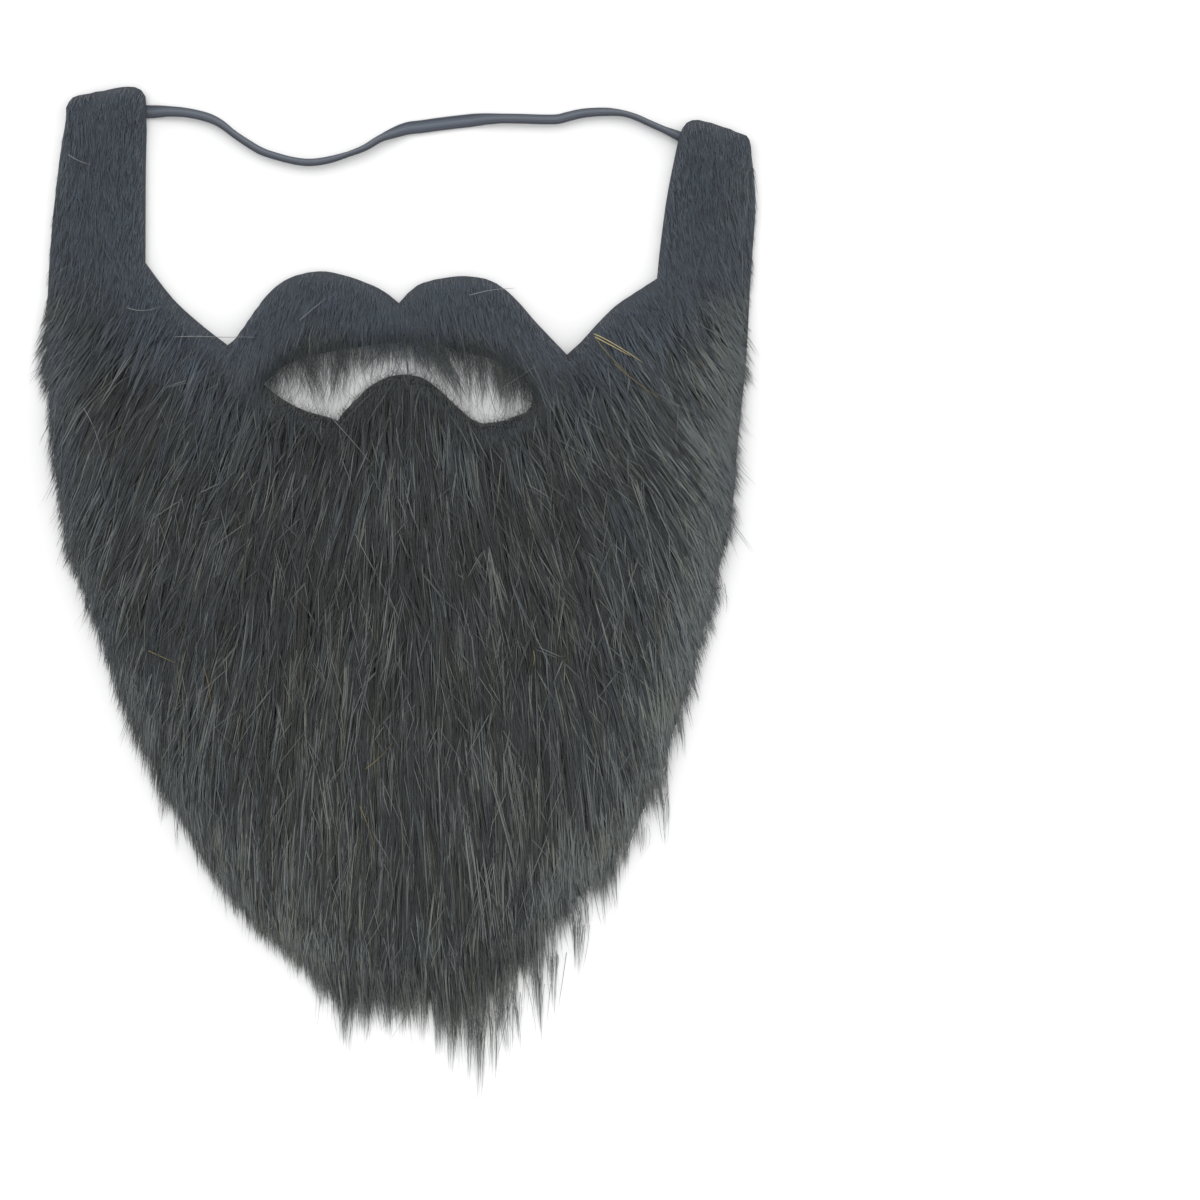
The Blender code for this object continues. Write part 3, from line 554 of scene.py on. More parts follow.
def wisp_lines(
    roots, lengths, seed, steps, hairs=4, wisp=0.95, gather=0.35, pull=0.6, spread=4.0, lock=7.5,
    rise=(0.5, 2.4), bury=0.5, over_mouth=None, inset=2.0, beyond=0.8, past_share=0.05,
):
    """The line of each hair.

    Wisps leave their roots down the pile and lean together into locks. The hairs of a wisp run to one point.

    hairs: how many in a wisp. wisp, gather: how wide it is at its roots and at its tips.
    pull: how much it leans into its lock. spread: how unevenly it lies, in degrees. lock: a lock's width.
    rise: the least and the most that it stands above the pile. bury: how deep its roots are.
    over_mouth: how far each wisp hangs over the mouth opening.
    inset: how far short of the hair's reach most wisps stop. past_share: how many pass it. beyond: how far.
    """
    drawn = np.random.default_rng(seed)
    count = len(roots)
    lock_length = lock * LOCK_SHAPE
    warped = roots + np.column_stack((waving(roots, 9, seed + 1), waving(roots, 11, seed + 2))) * 1.8
    row = np.floor((warped[:, 1] - CHART_SOUTH) / lock_length).astype(int)
    column = np.floor((warped[:, 0] - CHART_WEST) / lock + 0.5 * (row % 2)).astype(int)
    table = (CHART_ROWS, CHART_COLUMNS)
    lock_turn = drawn.normal(0, math.radians(LOCK_TURN), table)[row, column]
    lock_stretch = drawn.uniform(*LOCK_STRETCH, table)[row, column]
    lock_rise = drawn.uniform(0, 1, table)[row, column]
    lock_side = drawn.uniform(-LOCK_SIDE, LOCK_SIDE, table)[row, column]
    lock_tone = drawn.normal(0, 1, table)[row, column]
    lock_across = CHART_WEST + (column - 0.5 * (row % 2) + 0.5 + lock_side) * lock
    middle = np.column_stack((lock_across, CHART_SOUTH + (row + 0.5) * lock * LOCK_SHAPE))
    flow = pile_turn(roots)
    own = flow + drawn.normal(0, math.radians(spread), count)
    wild = drawn.random(count) < WILD_SHARE
    own = own + wild * drawn.normal(0, math.radians(WILD_TURN), count)
    gathered = pile_turn(middle) + lock_turn
    own_tip = roots + lengths[:, None] * downward(own)
    reach = lengths * lock_stretch
    lock_tip = middle + reach[:, None] * downward(gathered)
    hold = pull * drawn.uniform(0.5, 1.15, count) * ~wild
    tips = own_tip + hold[:, None] * (lock_tip - own_tip)
    bends = roots + 0.5 * lengths[:, None] * downward(own)

    # Each wisp stops where the hair ends: sharply along the cut edges, unevenly along the free ones.
    share = np.linspace(0, 1, WISP_TESTS + 1)[None, :, None]
    looked = arc(share, roots[:, None], bends[:, None], tips[:, None])
    across = looked[:, :, 0]
    up = looked[:, :, 1]
    inside = read_chart(reach_depth, looked)
    sharp = (read_chart(cut_distance, looked) < SHARP_REACH) | (up > SHARP_ABOVE)
    chin = step_between(-96, -126, up) * (1 - 0.85 * step_between(-5, -25, across))
    left = step_between(0, -40, across)
    short_of = inset * drawn.uniform(0.2, 1.6, count)[:, None] * (1 + 3.0 * chin - 0.4 * left)
    thin_right = step_between(-35, -60, up) * step_between(5, 35, across)
    short_of += 4.0 * thin_right * drawn.random(count)[:, None] ** 1.5
    past_by = drawn.exponential(beyond, count)[:, None]
    uneven = np.where(drawn.random(count)[:, None] < past_share, -past_by, short_of)
    stopped = inside < np.where(sharp, SHARP_INSET, uneven)
    stopped[:, 0] = False
    kept = np.where(stopped.any(axis=1), stopped.argmax(axis=1) / WISP_TESTS, 1.0)
    if over_mouth is not None:
        hanging = np.cumsum(read_chart(mouth_depth, looked) > 0, axis=1) * (lengths / WISP_TESTS)[:, None]
        past = hanging > over_mouth[:, None]
        kept = np.minimum(kept, np.where(past.any(axis=1), past.argmax(axis=1) / WISP_TESTS, 1.0))
    kept = np.maximum(kept, WISP_LEAST)
    lift = rise[0] + (rise[1] - rise[0]) * (0.55 * drawn.random(count) + 0.45 * lock_rise)

    # The hairs of each wisp.
    whose = np.repeat(np.arange(count), hairs)
    many = len(whose)
    root_off = drawn.normal(0, wisp * 0.6, (many, 2))
    tip_off = drawn.normal(0, gather, (many, 2))
    ends = kept[whose] * drawn.uniform(0.6, 1.0, many)
    share = (np.arange(steps + 1) / steps)[None, :]
    gone = share[:, :, None] * ends[:, None, None]
    plan = arc(gone, roots[whose][:, None], bends[whose][:, None], tips[whose][:, None])
    plan = plan + (1 - gone) * root_off[:, None] + gone * tip_off[:, None]
    leaving = step_between(0.0, 0.34, share)
    settling = 1 - 0.5 * step_between(0.6, 1.0, share)
    height = read_chart(lay_height, plan) - bury * (1 - leaving)
    height += lift[whose][:, None] * leaving * settling + drawn.normal(0, 0.16, many)[:, None] * leaving
    height += read_chart(band_cover, plan)
    height = np.maximum(height, FLOOR_CLEARANCE + 0.25 * (1 - share))
    depth = read_chart(reach_depth, plan)
    past_cut = (depth < 0.1) & (read_chart(cut_distance, plan) < 5)
    past_cut |= (depth < -0.3) & (plan[:, :, 1] > 104)
    off_cloth = read_chart(cloth_depth, plan[:, 0]) < 0.15
    clean = ~past_cut.any(axis=1) & ~off_cloth
    lines = np.concatenate((plan, height[:, :, None]), axis=2)
    return lines[clean], whose[clean], lock_tone, kept


# Materials.


def new_material(name):
    """A new material, its nodes, its links and its shader."""
    material = bpy.data.materials.new(name)
    material.use_nodes = True
    nodes = material.node_tree.nodes
    return material, nodes, material.node_tree.links, nodes["Principled BSDF"]


def ramp(nodes, links, value, stops):
    """A colour that follows a value, with a colour given at each of its stops."""
    node = nodes.new("ShaderNodeValToRGB")
    while len(node.color_ramp.elements) < len(stops):
        node.color_ramp.elements.new(0.5)
    for element, (place, colour) in zip(node.color_ramp.elements, stops):
        element.position = place
        element.color = (*colour, 1)
    links.new(value, node.inputs["Fac"])
    return node.outputs["Color"]


def maths(nodes, links, operation, *values):
    """A sum on values; each is a socket or a plain number."""
    node = nodes.new("ShaderNodeMath")
    node.operation = operation
    for socket, given in zip(node.inputs, values):
        if isinstance(given, bpy.types.NodeSocket):
            links.new(given, socket)
        else:
            socket.default_value = given
    return node.outputs["Value"]


def mixed(nodes, links, kind, share, first, second):
    """A colour mix; share and the two colours are sockets or plain values."""
    node = nodes.new("ShaderNodeMix")
    node.data_type = "RGBA"
    node.blend_type = kind
    for socket, given in ((node.inputs[0], share), (node.inputs[6], first), (node.inputs[7], second)):
        if isinstance(given, bpy.types.NodeSocket):
            links.new(given, socket)
        elif isinstance(given, tuple):
            socket.default_value = (*given, 1)
        else:
            socket.default_value = given
    return node.outputs[2]


def noted(nodes, name):
    """A value kept on the piece's points."""
    node = nodes.new("ShaderNodeAttribute")
    node.attribute_name = name
    return node.outputs["Fac"]


def object_noise(nodes, links, scale, stretch=(1, 1, 1), detail=3):
    """Noise that lies fixed in the piece."""
    place = nodes.new("ShaderNodeTexCoord")
    mapping = nodes.new("ShaderNodeMapping")
    mapping.inputs["Scale"].default_value = stretch
    noise = nodes.new("ShaderNodeTexNoise")
    noise.inputs["Scale"].default_value = scale
    noise.inputs["Detail"].default_value = detail
    links.new(place.outputs["Object"], mapping.inputs["Vector"])
    links.new(mapping.outputs["Vector"], noise.inputs["Vector"])
    return noise.outputs["Fac"]


def spread_value(nodes, links, value, low, high, least=0):
    """A value between its least and 1, spread over another range."""
    node = nodes.new("ShaderNodeMapRange")
    node.inputs["From Min"].default_value = least
    node.inputs["To Min"].default_value = low
    node.inputs["To Max"].default_value = high
    links.new(value, node.inputs["Value"])
    return node.outputs["Result"]


def raised(nodes, links, height, strength, distance):
    """Fine relief for a surface."""
    node = nodes.new("ShaderNodeBump")
    node.inputs["Strength"].default_value = strength
    node.inputs["Distance"].default_value = distance
    links.new(height, node.inputs["Height"])
    return node.outputs["Normal"]


def hair_material(name, dark, middle, light, slate, tip):
    """Black acrylic pile: each hair has its own tone, a root darkened as painted shade and a tip paled as
    painted light.
    """
    material, nodes, links, shader = new_material(name)
    tone = ramp(nodes, links, noted(nodes, "tone"), ((0.0, dark), (0.55, middle), (1.0, light)))
    blue = mixed(nodes, links, "MIX", noted(nodes, "slate"), tone, slate)
    patches = object_noise(nodes, links, 260, (1, 0.07, 1))
    brown = ramp(nodes, links, patches, ((0.46, (0, 0, 0)), (0.72, (0.55, 0.55, 0.55))))
    inner = ramp(nodes, links, noted(nodes, "slate"), ((0.0, (1, 1, 1)), (0.30, (0.15, 0.15, 0.15))))
    brown_share = mixed(nodes, links, "MULTIPLY", 1.0, brown, inner)
    toned = mixed(nodes, links, "SOFT_LIGHT", brown_share, blue, (0.64, 0.59, 0.34))
    along = noted(nodes, "along")
    # Painted shade: each hair is darkened towards its root, where it lies buried among the others.
    root_shade_stops = ((0.0, (0.42, 0.42, 0.43)), (0.4, (0.88, 0.88, 0.88)), (1.0, (1, 1, 1)))
    shaded = mixed(nodes, links, "MULTIPLY", 1.0, toned, ramp(nodes, links, along, root_shade_stops))
    # Painted light: towards its tip each hair is mixed with a paler grey, for the light that shows through
    # its thin end.
    tip_light_share = ramp(nodes, links, along, ((0.55, (0, 0, 0)), (1.0, (0.3, 0.3, 0.3))))
    tip_lit_colour = mixed(nodes, links, "MIX", tip_light_share, shaded, tip)
    links.new(tip_lit_colour, shader.inputs["Base Color"])
    gloss = object_noise(nodes, links, 420)
    links.new(spread_value(nodes, links, gloss, 0.42, 0.66), shader.inputs["Roughness"])
    grain = object_noise(nodes, links, 2600, (1, 0.12, 1), 2)
    links.new(raised(nodes, links, grain, 0.25, 0.00006), shader.inputs["Normal"])
    shader.inputs["Specular IOR Level"].default_value = 0.35
    shader.inputs["Sheen Weight"].default_value = 0.12
    shader.inputs["Sheen Roughness"].default_value = 0.5
    return material


def under_pile_material():
    """The dense base of the pile, seen between the hairs and at the cut edges."""
    material, nodes, links, shader = new_material("black_under_pile")
    streaks = object_noise(nodes, links, 900, (1, 0.08, 1), 4)
    tone = ramp(nodes, links, streaks, ((0.3, (0.008, 0.009, 0.010)), (0.7, (0.028, 0.032, 0.035))))
    toned = mixed(nodes, links, "MIX", noted(nodes, "slate"), tone, (0.050, 0.060, 0.074))
    links.new(toned, shader.inputs["Base Color"])
    links.new(spread_value(nodes, links, streaks, 0.7, 0.95), shader.inputs["Roughness"])
    links.new(raised(nodes, links, streaks, 0.8, 0.0006), shader.inputs["Normal"])
    shader.inputs["Specular IOR Level"].default_value = 0.2
    return material


def backing_material():
    """The knitted back of the pile cloth, in fine columns of loops."""
    material, nodes, links, shader = new_material("black_knit_backing")
    place = nodes.new("ShaderNodeTexCoord")
    bands = []
    for direction, scale, distortion in (("X", 320, 0.6), ("Y", 260, 0.8)):
        wave = nodes.new("ShaderNodeTexWave")
        wave.bands_direction = direction
        wave.inputs["Scale"].default_value = scale
        wave.inputs["Distortion"].default_value = distortion
        links.new(place.outputs["Object"], wave.inputs["Vector"])
        bands.append(wave.outputs["Fac"])
    loops = maths(nodes, links, "MULTIPLY", *bands)
    tone = ramp(nodes, links, loops, ((0.0, (0.008, 0.009, 0.010)), (1.0, (0.034, 0.037, 0.041))))
    links.new(tone, shader.inputs["Base Color"])
    links.new(spread_value(nodes, links, loops, 0.95, 0.75), shader.inputs["Roughness"])
    links.new(raised(nodes, links, loops, 0.6, 0.0003), shader.inputs["Normal"])
    shader.inputs["Sheen Weight"].default_value = 0.1
    return material


def elastic_material():
    """Braided elastic: slate yarn in slanting strokes between lengthwise ribs, with painted shade towards
    both edges and a painted highlight along the middle.
    """
    material, nodes, links, shader = new_material("slate_braided_elastic")
    across = noted(nodes, "across")
    along = noted(nodes, "along_mm")
    zigzag = maths(nodes, links, "PINGPONG", across, 0.5 / BAND_RIBS)
    lean = maths(nodes, links, "MULTIPLY_ADD", zigzag, BAND_STROKE_SLANT, along)
    turning = maths(nodes, links, "MULTIPLY", lean, 2 * math.pi / BAND_STROKE_PITCH)
    yarn = spread_value(nodes, links, maths(nodes, links, "SINE", turning), 0, 1, least=-1)
    patches = object_noise(nodes, links, 240)
    tone = ramp(nodes, links, yarn, ((0.0, (0.068, 0.082, 0.106)), (1.0, (0.190, 0.216, 0.262))))
    toned = mixed(nodes, links, "MULTIPLY", 0.6, tone, (0.8, 0.85, 0.9))
    wear = spread_value(nodes, links, patches, 0.0, 0.35)
    worn = mixed(nodes, links, "MIX", wear, toned, (0.135, 0.148, 0.165))
    # Painted shade and highlight: the colour is darkened towards both edges of the band and left lightest
    # along its middle.
    edge = (0.25, 0.25, 0.28)
    shoulder_shade = (0.45, 0.46, 0.50)
    edge_shade_stops = ((0.0, edge), (0.22, shoulder_shade), (0.5, (1, 1, 0.97)), (0.78, shoulder_shade), (1.0, edge))
    edge_shaded = mixed(nodes, links, "MULTIPLY", 1.0, worn, ramp(nodes, links, across, edge_shade_stops))
    links.new(edge_shaded, shader.inputs["Base Color"])
    links.new(spread_value(nodes, links, patches, 0.55, 0.8), shader.inputs["Roughness"])
    links.new(raised(nodes, links, yarn, 0.5, 0.00012), shader.inputs["Normal"])
    shader.inputs["Sheen Weight"].default_value = 0.15
    return material


def fibre_material(name, colour):
    """A single fibre or thread, with a little variation along it."""
    material, nodes, links, shader = new_material(name)
    streaks = object_noise(nodes, links, 300)
    share = spread_value(nodes, links, streaks, 0.1, 0.6)
    tone = mixed(nodes, links, "MULTIPLY", share, colour, (0.55, 0.50, 0.45))
    links.new(tone, shader.inputs["Base Color"])
    links.new(spread_value(nodes, links, streaks, 0.4, 0.6), shader.inputs["Roughness"])
    links.new(raised(nodes, links, streaks, 0.2, 0.00005), shader.inputs["Normal"])
    return material


def floor_material():
    material, _, _, shader = new_material("pale_floor")
    shader.inputs["Base Color"].default_value = (0.93, 0.93, 0.93, 1)
    shader.inputs["Roughness"].default_value = 0.9
    shader.inputs["Specular IOR Level"].default_value = 0.1
    return material


# Camera, light and floor.

bpy.ops.object.select_all(action="DESELECT")
bpy.ops.object.camera_add(location=CAMERA_PLACE, rotation=(0, 0, 0))
camera = bpy.context.object
camera.data.lens = CAMERA_LENS
camera.data.sensor_width = 36
camera.data.clip_end = 20
camera.data.dof.use_dof = False
bpy.context.scene.camera = camera
bpy.context.scene.view_settings.view_transform = "Standard"

bpy.ops.mesh.primitive_plane_add(size=8, location=(0, 0, -0.0002))
floor = bpy.context.object
floor.name = "floor"
floor.data.materials.append(floor_material())

world = bpy.data.worlds.new("studio")
bpy.context.scene.world = world
world.use_nodes = True
world.node_tree.nodes["Background"].inputs["Color"].default_value = (1.0, 1.0, 1.0, 1)
world.node_tree.nodes["Background"].inputs["Strength"].default_value = 0.92

for name, place, size, power in (
    ("soft_light_above", (-0.45, 0.75, 1.6), 1.2, 9.0),
    ("soft_light_right", (1.3, 0.2, 1.5), 1.4, 5.0),
):
    bpy.ops.object.light_add(type="AREA", location=place)
    light = bpy.context.object
    light.name = name
    light.data.size = size
    light.data.energy = power
    light.rotation_euler = Vector(place).to_track_quat("Z", "Y").to_euler()


# Elastic band.


def elastic_band():
    """The flat braided elastic, turned and raised along its route so that it lies on the floor."""
    plan = smooth_run(BAND_ROUTE, BAND_STEP * MM) / MM
    plan = np.vstack((plan, np.array(BAND_ROUTE[-1]) / MM))
    turns = np.array(BAND_TURNS, float)
    turn = np.radians(np.interp(plan[:, 0], turns[:, 0], turns[:, 1]))
    half_width = BAND_WIDTH / 2
    half_thickness = BAND_THICKNESS / 2
    middle = half_width * np.sin(turn) + half_thickness * np.cos(turn) + 0.02
    route = np.column_stack((plan, middle))
    ahead = np.gradient(route, axis=0)
    ahead[:, 2] = 0
    ahead /= np.linalg.norm(ahead, axis=1, keepdims=True)
    beside = np.column_stack((ahead[:, 1], -ahead[:, 0], np.zeros(len(route))))
    upward = np.array((0.0, 0.0, 1.0))
    per_face = 4 * BAND_RIBS + 1
    share = np.linspace(-1, 1, per_face)
    rib = np.abs(np.sin((share + 1) / 2 * BAND_RIBS * math.pi)) ** 0.7
    edge = np.sqrt(np.clip(1 - (np.abs(share) * 0.93) ** 6, 0, 1))
    height = (half_thickness - BAND_RIB_DEPTH + BAND_RIB_DEPTH * rib) * edge
    round_share = np.concatenate((share, share[::-1]))
    wide = (round_share * half_width)[None, :, None]
    high = np.concatenate((height, -height[::-1]))[None, :, None]
    across = (round_share + 1) / 2
    flat = beside * np.cos(turn)[:, None] + upward * np.sin(turn)[:, None]
    thick = -beside * np.sin(turn)[:, None] + upward * np.cos(turn)[:, None]
    rings = route[:, None] + flat[:, None] * wide + thick[:, None] * high
    count, around, _ = rings.shape
    places = np.vstack((rings.reshape(-1, 3), route[:1], route[-1:]))
    faces = []
    for ring in range(count - 1):
        for corner in range(around):
            here = ring * around + corner
            beyond = ring * around + (corner + 1) % around
            faces.append((here, here + around, beyond + around))
            faces.append((here, beyond + around, beyond))
    for corner in range(around):
        first = count * around
        faces.append((first, corner, (corner + 1) % around))
        last = (count - 1) * around
        faces.append((first + 1, last + (corner + 1) % around, last + corner))
    piece = piece_from("braided_elastic", places, faces, elastic_material())
    gone = np.concatenate(((0,), np.cumsum(np.linalg.norm(np.diff(route, axis=0), axis=1))))
    note_on_points(piece, "across", np.concatenate((np.tile(across, count), (0.5, 0.5))))
    note_on_points(piece, "along_mm", np.concatenate((np.repeat(gone, around), (gone[0], gone[-1]))))
    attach(piece, "root")
    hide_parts("elastic_band")


elastic_band()


# Cloth and pile.

cloth = blanket(
    "knit_backing",
    cloth_loop,
    mouth_loop,
    CLOTH_PITCH,
    lambda places: read_chart(band_cover, places),
    lambda places: read_chart(band_cover, places) + CLOTH_THICKNESS,
    backing_material(),
)
under_pile = blanket(
    "under_pile",
    cloth_loop,
    mouth_loop,
    CLOTH_PITCH,
    lambda places: read_chart(band_cover, places) + CLOTH_THICKNESS,
    lambda places: read_chart(band_cover, places) + np.maximum(
        read_chart(under_height, places), CLOTH_THICKNESS + 0.4
    ),
    under_pile_material(),
)

pile_finish = hair_material(
    "black_pile",
    dark=(0.012, 0.0145, 0.0155),
    middle=(0.053, 0.061, 0.060),
    light=(0.236, 0.262, 0.252),
    slate=(0.080, 0.106, 0.140),
    # The tip colour is painted light: the paler grey of the light that shows through the thin hair tips.
    tip=(0.170, 0.186, 0.184),
)

pieces = []


def slate_share(points):
    """How much of the blue of the short pile shows: most near the cut edges above the jaw."""
    up = points[:, 1]
    near = step_between(22, 4, read_chart(cut_distance, points)) * step_between(60, 90, up)
    sideburn = 0.8 * step_between(88, 112, up)
    outer = 0.26 * step_between(20, 6, read_chart(cloth_depth, points)) * step_between(-50, 20, up)
    middle = step_between(75, 35, np.abs(points[:, 0] - BEARD_MIDDLE)) * step_between(60, 20, up)
    patches = 0.17 - 0.17 * middle + 0.10 * waving(points, 45, 77)
    patches = patches + np.random.default_rng(78).normal(0, 0.12, len(points))
    return np.clip(np.maximum(np.maximum(near, sideburn), outer) + patches, 0, 0.9)


def pile_layer(name, roots, lengths, width, seed, steps, tone_shift=0.0, contrast=0.15, **how):
    """One layer of the pile as a piece."""
    drawn = np.random.default_rng(seed + 50)
    lines, whose, lock_tone, kept = wisp_lines(roots, lengths, seed, steps, **how)
    tones = 0.40 + tone_shift + contrast * (0.4 * lock_tone + drawn.normal(0, 0.8, len(roots)))
    streaked = np.column_stack((roots[:, 0], 0.12 * roots[:, 1]))
    tones += contrast * (0.45 * waving(streaked, 5, 33) + 0.35 * waving(roots, 17, 32))
    # The chin and cheek terms are painted light: paler down the beard and on the right cheek, where more
    # light falls.
    tones += 0.05 * waving(roots, 40, 31) + painted_chin_light(roots) + cheek_paleness(roots)
    tones = tones[whose] + drawn.normal(0, contrast * 0.9, len(whose)) + edge_paleness(lines[:, -1, :2])
    widths = width * drawn.uniform(0.7, 1.3, len(whose)) * (0.55 + 0.45 * kept[whose])
    slates = slate_share(roots)[whose]
    pieces.append(hair_piece(name, lines, widths, np.clip(tones, 0, 1), slates, pile_finish))


def edge_paleness(points):
    """The thin hair along the free edges lets more light through."""
    free = step_between(11, 1, read_chart(reach_depth, points))
    free = free * step_between(6, 14, read_chart(cut_distance, points))
    return 0.26 * free * (1 + 0.8 * step_between(-10, 60, points[:, 0]))


def painted_chin_light(points):
    """Painted light: the pile is made a little paler down the beard, where the lower beard is lit more
    brightly.
    """
    side = 1 + 1.2 * step_between(20, 60, np.abs(points[:, 0] - BEARD_MIDDLE))
    return 0.06 * step_between(20, -30, points[:, 1]) + 0.11 * side * step_between(-30, -80, points[:, 1])


def cheek_paleness(points):
    """The right cheek catches more of the light than the left one."""
    right = step_between(48, 98, points[:, 0])
    return 0.38 * right * step_between(-60, 0, points[:, 1]) * step_between(110, 80, points[:, 1])


def length_at(points):
    """How long the pile is at each root, in mm."""
    up = points[:, 1]
    full = step_between(100, 55, up)
    chin = step_between(-40, -105, up)
    return 16 + 19 * full + 15 * chin


def above_moustache_ends(points):
    across, up = np.transpose(MOUSTACHE_ENDS)
    return points[:, 1] > np.interp(points[:, 0], across, up)


def moustache_region(points):
    lobe = (np.abs(points[:, 0] - MOUSTACHE_MIDDLE) < 56) & (points[:, 1] < 106)
    return lobe & above_moustache_ends(points)


def beard_region(west, east, south, north):
    """A test for roots in a rectangle, without those of the moustache."""

    def test(points):
        inside = (points[:, 0] >= west) & (points[:, 0] < east)
        return inside & (points[:, 1] >= south) & (points[:, 1] < north) & ~moustache_region(points)

    return test


def away_from_cuts(points, seed):
    """True for most points, and for few of those close to a cut edge, where only the short pile stands."""
    chance = step_between(1.5, 8, read_chart(cut_distance, points))
    return np.random.default_rng(seed).random(len(points)) < 0.15 + 0.85 * chance


def whole_pile(name, region, pitch, seed, steps, width, **how):
    """The pile of one region, at its full length."""
    roots = scattered(pitch, seed, region)
    roots = roots[away_from_cuts(roots, seed + 3)]
    drawn = np.random.default_rng(seed + 7)
    lengths = length_at(roots) * drawn.uniform(0.75, 1.2, len(roots))
    pile_layer(name, roots, lengths, width, seed, steps, **how)


jaw_way = {"spread": 8.0, "gather": 0.65, "wisp": 1.0, "contrast": 0.20, "tone_shift": -0.29}
whole_pile("left_jaw_pile", beard_region(-130, 2, -18, 92), 2.35, 101, 3, 0.44, **jaw_way)
whole_pile("right_jaw_pile", beard_region(2, 130, -18, 92), 2.35, 102, 3, 0.44, **jaw_way)
chin_way = {"gather": 0.45, "contrast": 0.21, "tone_shift": -0.14}
whole_pile("chin_pile", beard_region(-130, 130, -62, -18), 2.4, 103, 3, 0.46, **chin_way)
whole_pile("beard_tip_pile", beard_region(-130, 130, -130, -62), 2.3, 114, 3, 0.44, **chin_way)


def sideburn_region(points):
    return (points[:, 1] >= 92) & (np.abs(points[:, 0]) > 60)


sideburn_way = {"hairs": 3, "spread": 9.0, "gather": 0.6, "rise": (0.2, 0.9)}
sideburn_way.update(contrast=0.09, tone_shift=0.18)
whole_pile("sideburn_pile", sideburn_region, 1.4, 104, 2, 0.24, **sideburn_way)

moustache_roots = scattered(1.35, 105, moustache_region)
moustache_roots = moustache_roots[away_from_cuts(moustache_roots, 106)]
drawn = np.random.default_rng(107)
moustache_lengths = 16 * drawn.uniform(0.7, 1.25, len(moustache_roots))
from_middle = step_between(4, 20, np.abs(moustache_roots[:, 0] - MOUSTACHE_MIDDLE))
hang = 0.4 + drawn.exponential(1.9, len(moustache_roots)) * (0.5 + 0.5 * from_middle)
fingers = waving(moustache_roots * (1.0, 0.15), 7, 109)
hang *= 0.4 + 1.2 * step_between(-0.5, 1.0, fingers)
pile_layer(
    "moustache_pile", moustache_roots, moustache_lengths, 0.25, 108, 2,
    gather=0.7, over_mouth=hang, rise=(0.2, 1.0), contrast=0.11, tone_shift=0.14,
)


def lip_region(points):
    return (read_chart(mouth_depth, points) > -7) & above_moustache_ends(points)


lip_roots = scattered(1.8, 120, lip_region)
drawn = np.random.default_rng(121)
lip_lengths = drawn.uniform(14, 30, len(lip_roots))
hang = 1.0 + drawn.exponential(3.0, len(lip_roots))
pile_layer(
    "lip_hairs", lip_roots, lip_lengths, 0.13, 122, 3,
    wisp=1.6, gather=1.8, spread=12.0, over_mouth=hang, rise=(0.5, 1.5), contrast=0.12, tone_shift=-0.04,
)


def mouth_top(across):
    """How far up the mouth opening's upper edge is."""
    upper = mouth_upper_line[np.argsort(mouth_upper_line[:, 0])]
    return np.interp(across, upper[:, 0], upper[:, 1])


def mouth_strands():
    """Long thin hairs of the moustache that fall over the mouth opening and run together at their tips."""
    drawn = np.random.default_rng(160)
    lines = []
    for west, east, tip_x, tip_y, count in MOUTH_STRANDS:
        clumps = drawn.uniform(west, east, STRAND_CLUMPS)
        for _ in range(count):
            across = clumps[drawn.integers(STRAND_CLUMPS)] + drawn.normal(0, 0.8)
            start = np.array((across, mouth_top(across) + drawn.uniform(0.5, 5)))
            tip = np.array((tip_x, tip_y)) + drawn.normal(0, (1.9, 1.6))
            bend = (start + tip) / 2 + drawn.normal(0, (1.8, 1.0)) + (0, 1.5)
            plan = arc(np.linspace(0, drawn.uniform(0.5, 1.0), 4)[:, None], start, bend, tip)
            over = read_chart(lay_height, plan) + drawn.uniform(0.2, 1.2)
            lines.append(np.column_stack((plan, over)))
    lines = np.array(lines)
    many = len(lines)
    widths = drawn.uniform(0.08, 0.15, many)
    tones = drawn.uniform(0.45, 1.0, many)
    pieces.append(hair_piece("mouth_strands", lines, widths, tones, np.full(many, 0.2), pile_finish))


mouth_strands()


def hairs_from_ends(name, starts, ends, bends, base_height, widths, tones, slates):
    """Single hairs from where each starts to where it ends, with a sideways bend."""
    middle = (starts + ends) / 2 + bends
    share = np.linspace(0, 1, 4)[None, :, None]
    plan = arc(share, starts[:, None], middle[:, None], ends[:, None])
    over = read_chart(lay_height, plan) + base_height[:, None]
    lines = np.concatenate((plan, np.maximum(over, 0.2)[:, :, None]), axis=2)
    pieces.append(hair_piece(name, lines, widths, tones, slates, pile_finish))


def mouth_haze():
    """Fine pale hairs over the mouth opening, and short fuzz along its lower edge."""
    drawn = np.random.default_rng(165)
    many = HAZE_HAIRS
    across = drawn.uniform(-41, 44.5, many)
    starts = np.column_stack((across, mouth_top(across) + 2 - drawn.uniform(0, 6, many)))
    turn = np.radians(drawn.normal(0, 20, many))
    from_middle = step_between(6, 18, np.abs(across - MOUSTACHE_MIDDLE))
    long = drawn.uniform(7, 20, many) * (0.5 + 0.5 * from_middle)
    ends = starts + long[:, None] * downward(turn)
    many = LOWER_FUZZ_HAIRS
    low_line = mouth_lower_line[drawn.integers(0, len(mouth_lower_line), many)]
    low_starts = low_line + drawn.normal(0, 0.7, (many, 2)) - (0, 0.8)
    low_turn = np.radians(drawn.normal(0, 38, many))
    low_way = np.column_stack((np.sin(low_turn), np.cos(low_turn)))
    low_ends = low_starts + (1.2 + drawn.exponential(1.9, many))[:, None] * low_way
    starts = np.vstack((starts, low_starts))
    ends = np.vstack((ends, low_ends))
    count = len(starts)
    hairs_from_ends(
        "mouth_haze",
        starts,
        ends,
        drawn.normal(0, 0.8, (count, 2)),
        drawn.uniform(0.2, 1.4, count),
        drawn.uniform(0.06, 0.11, count),
        drawn.uniform(0.6, 1.0, count),
        np.full(count, 0.1),
    )


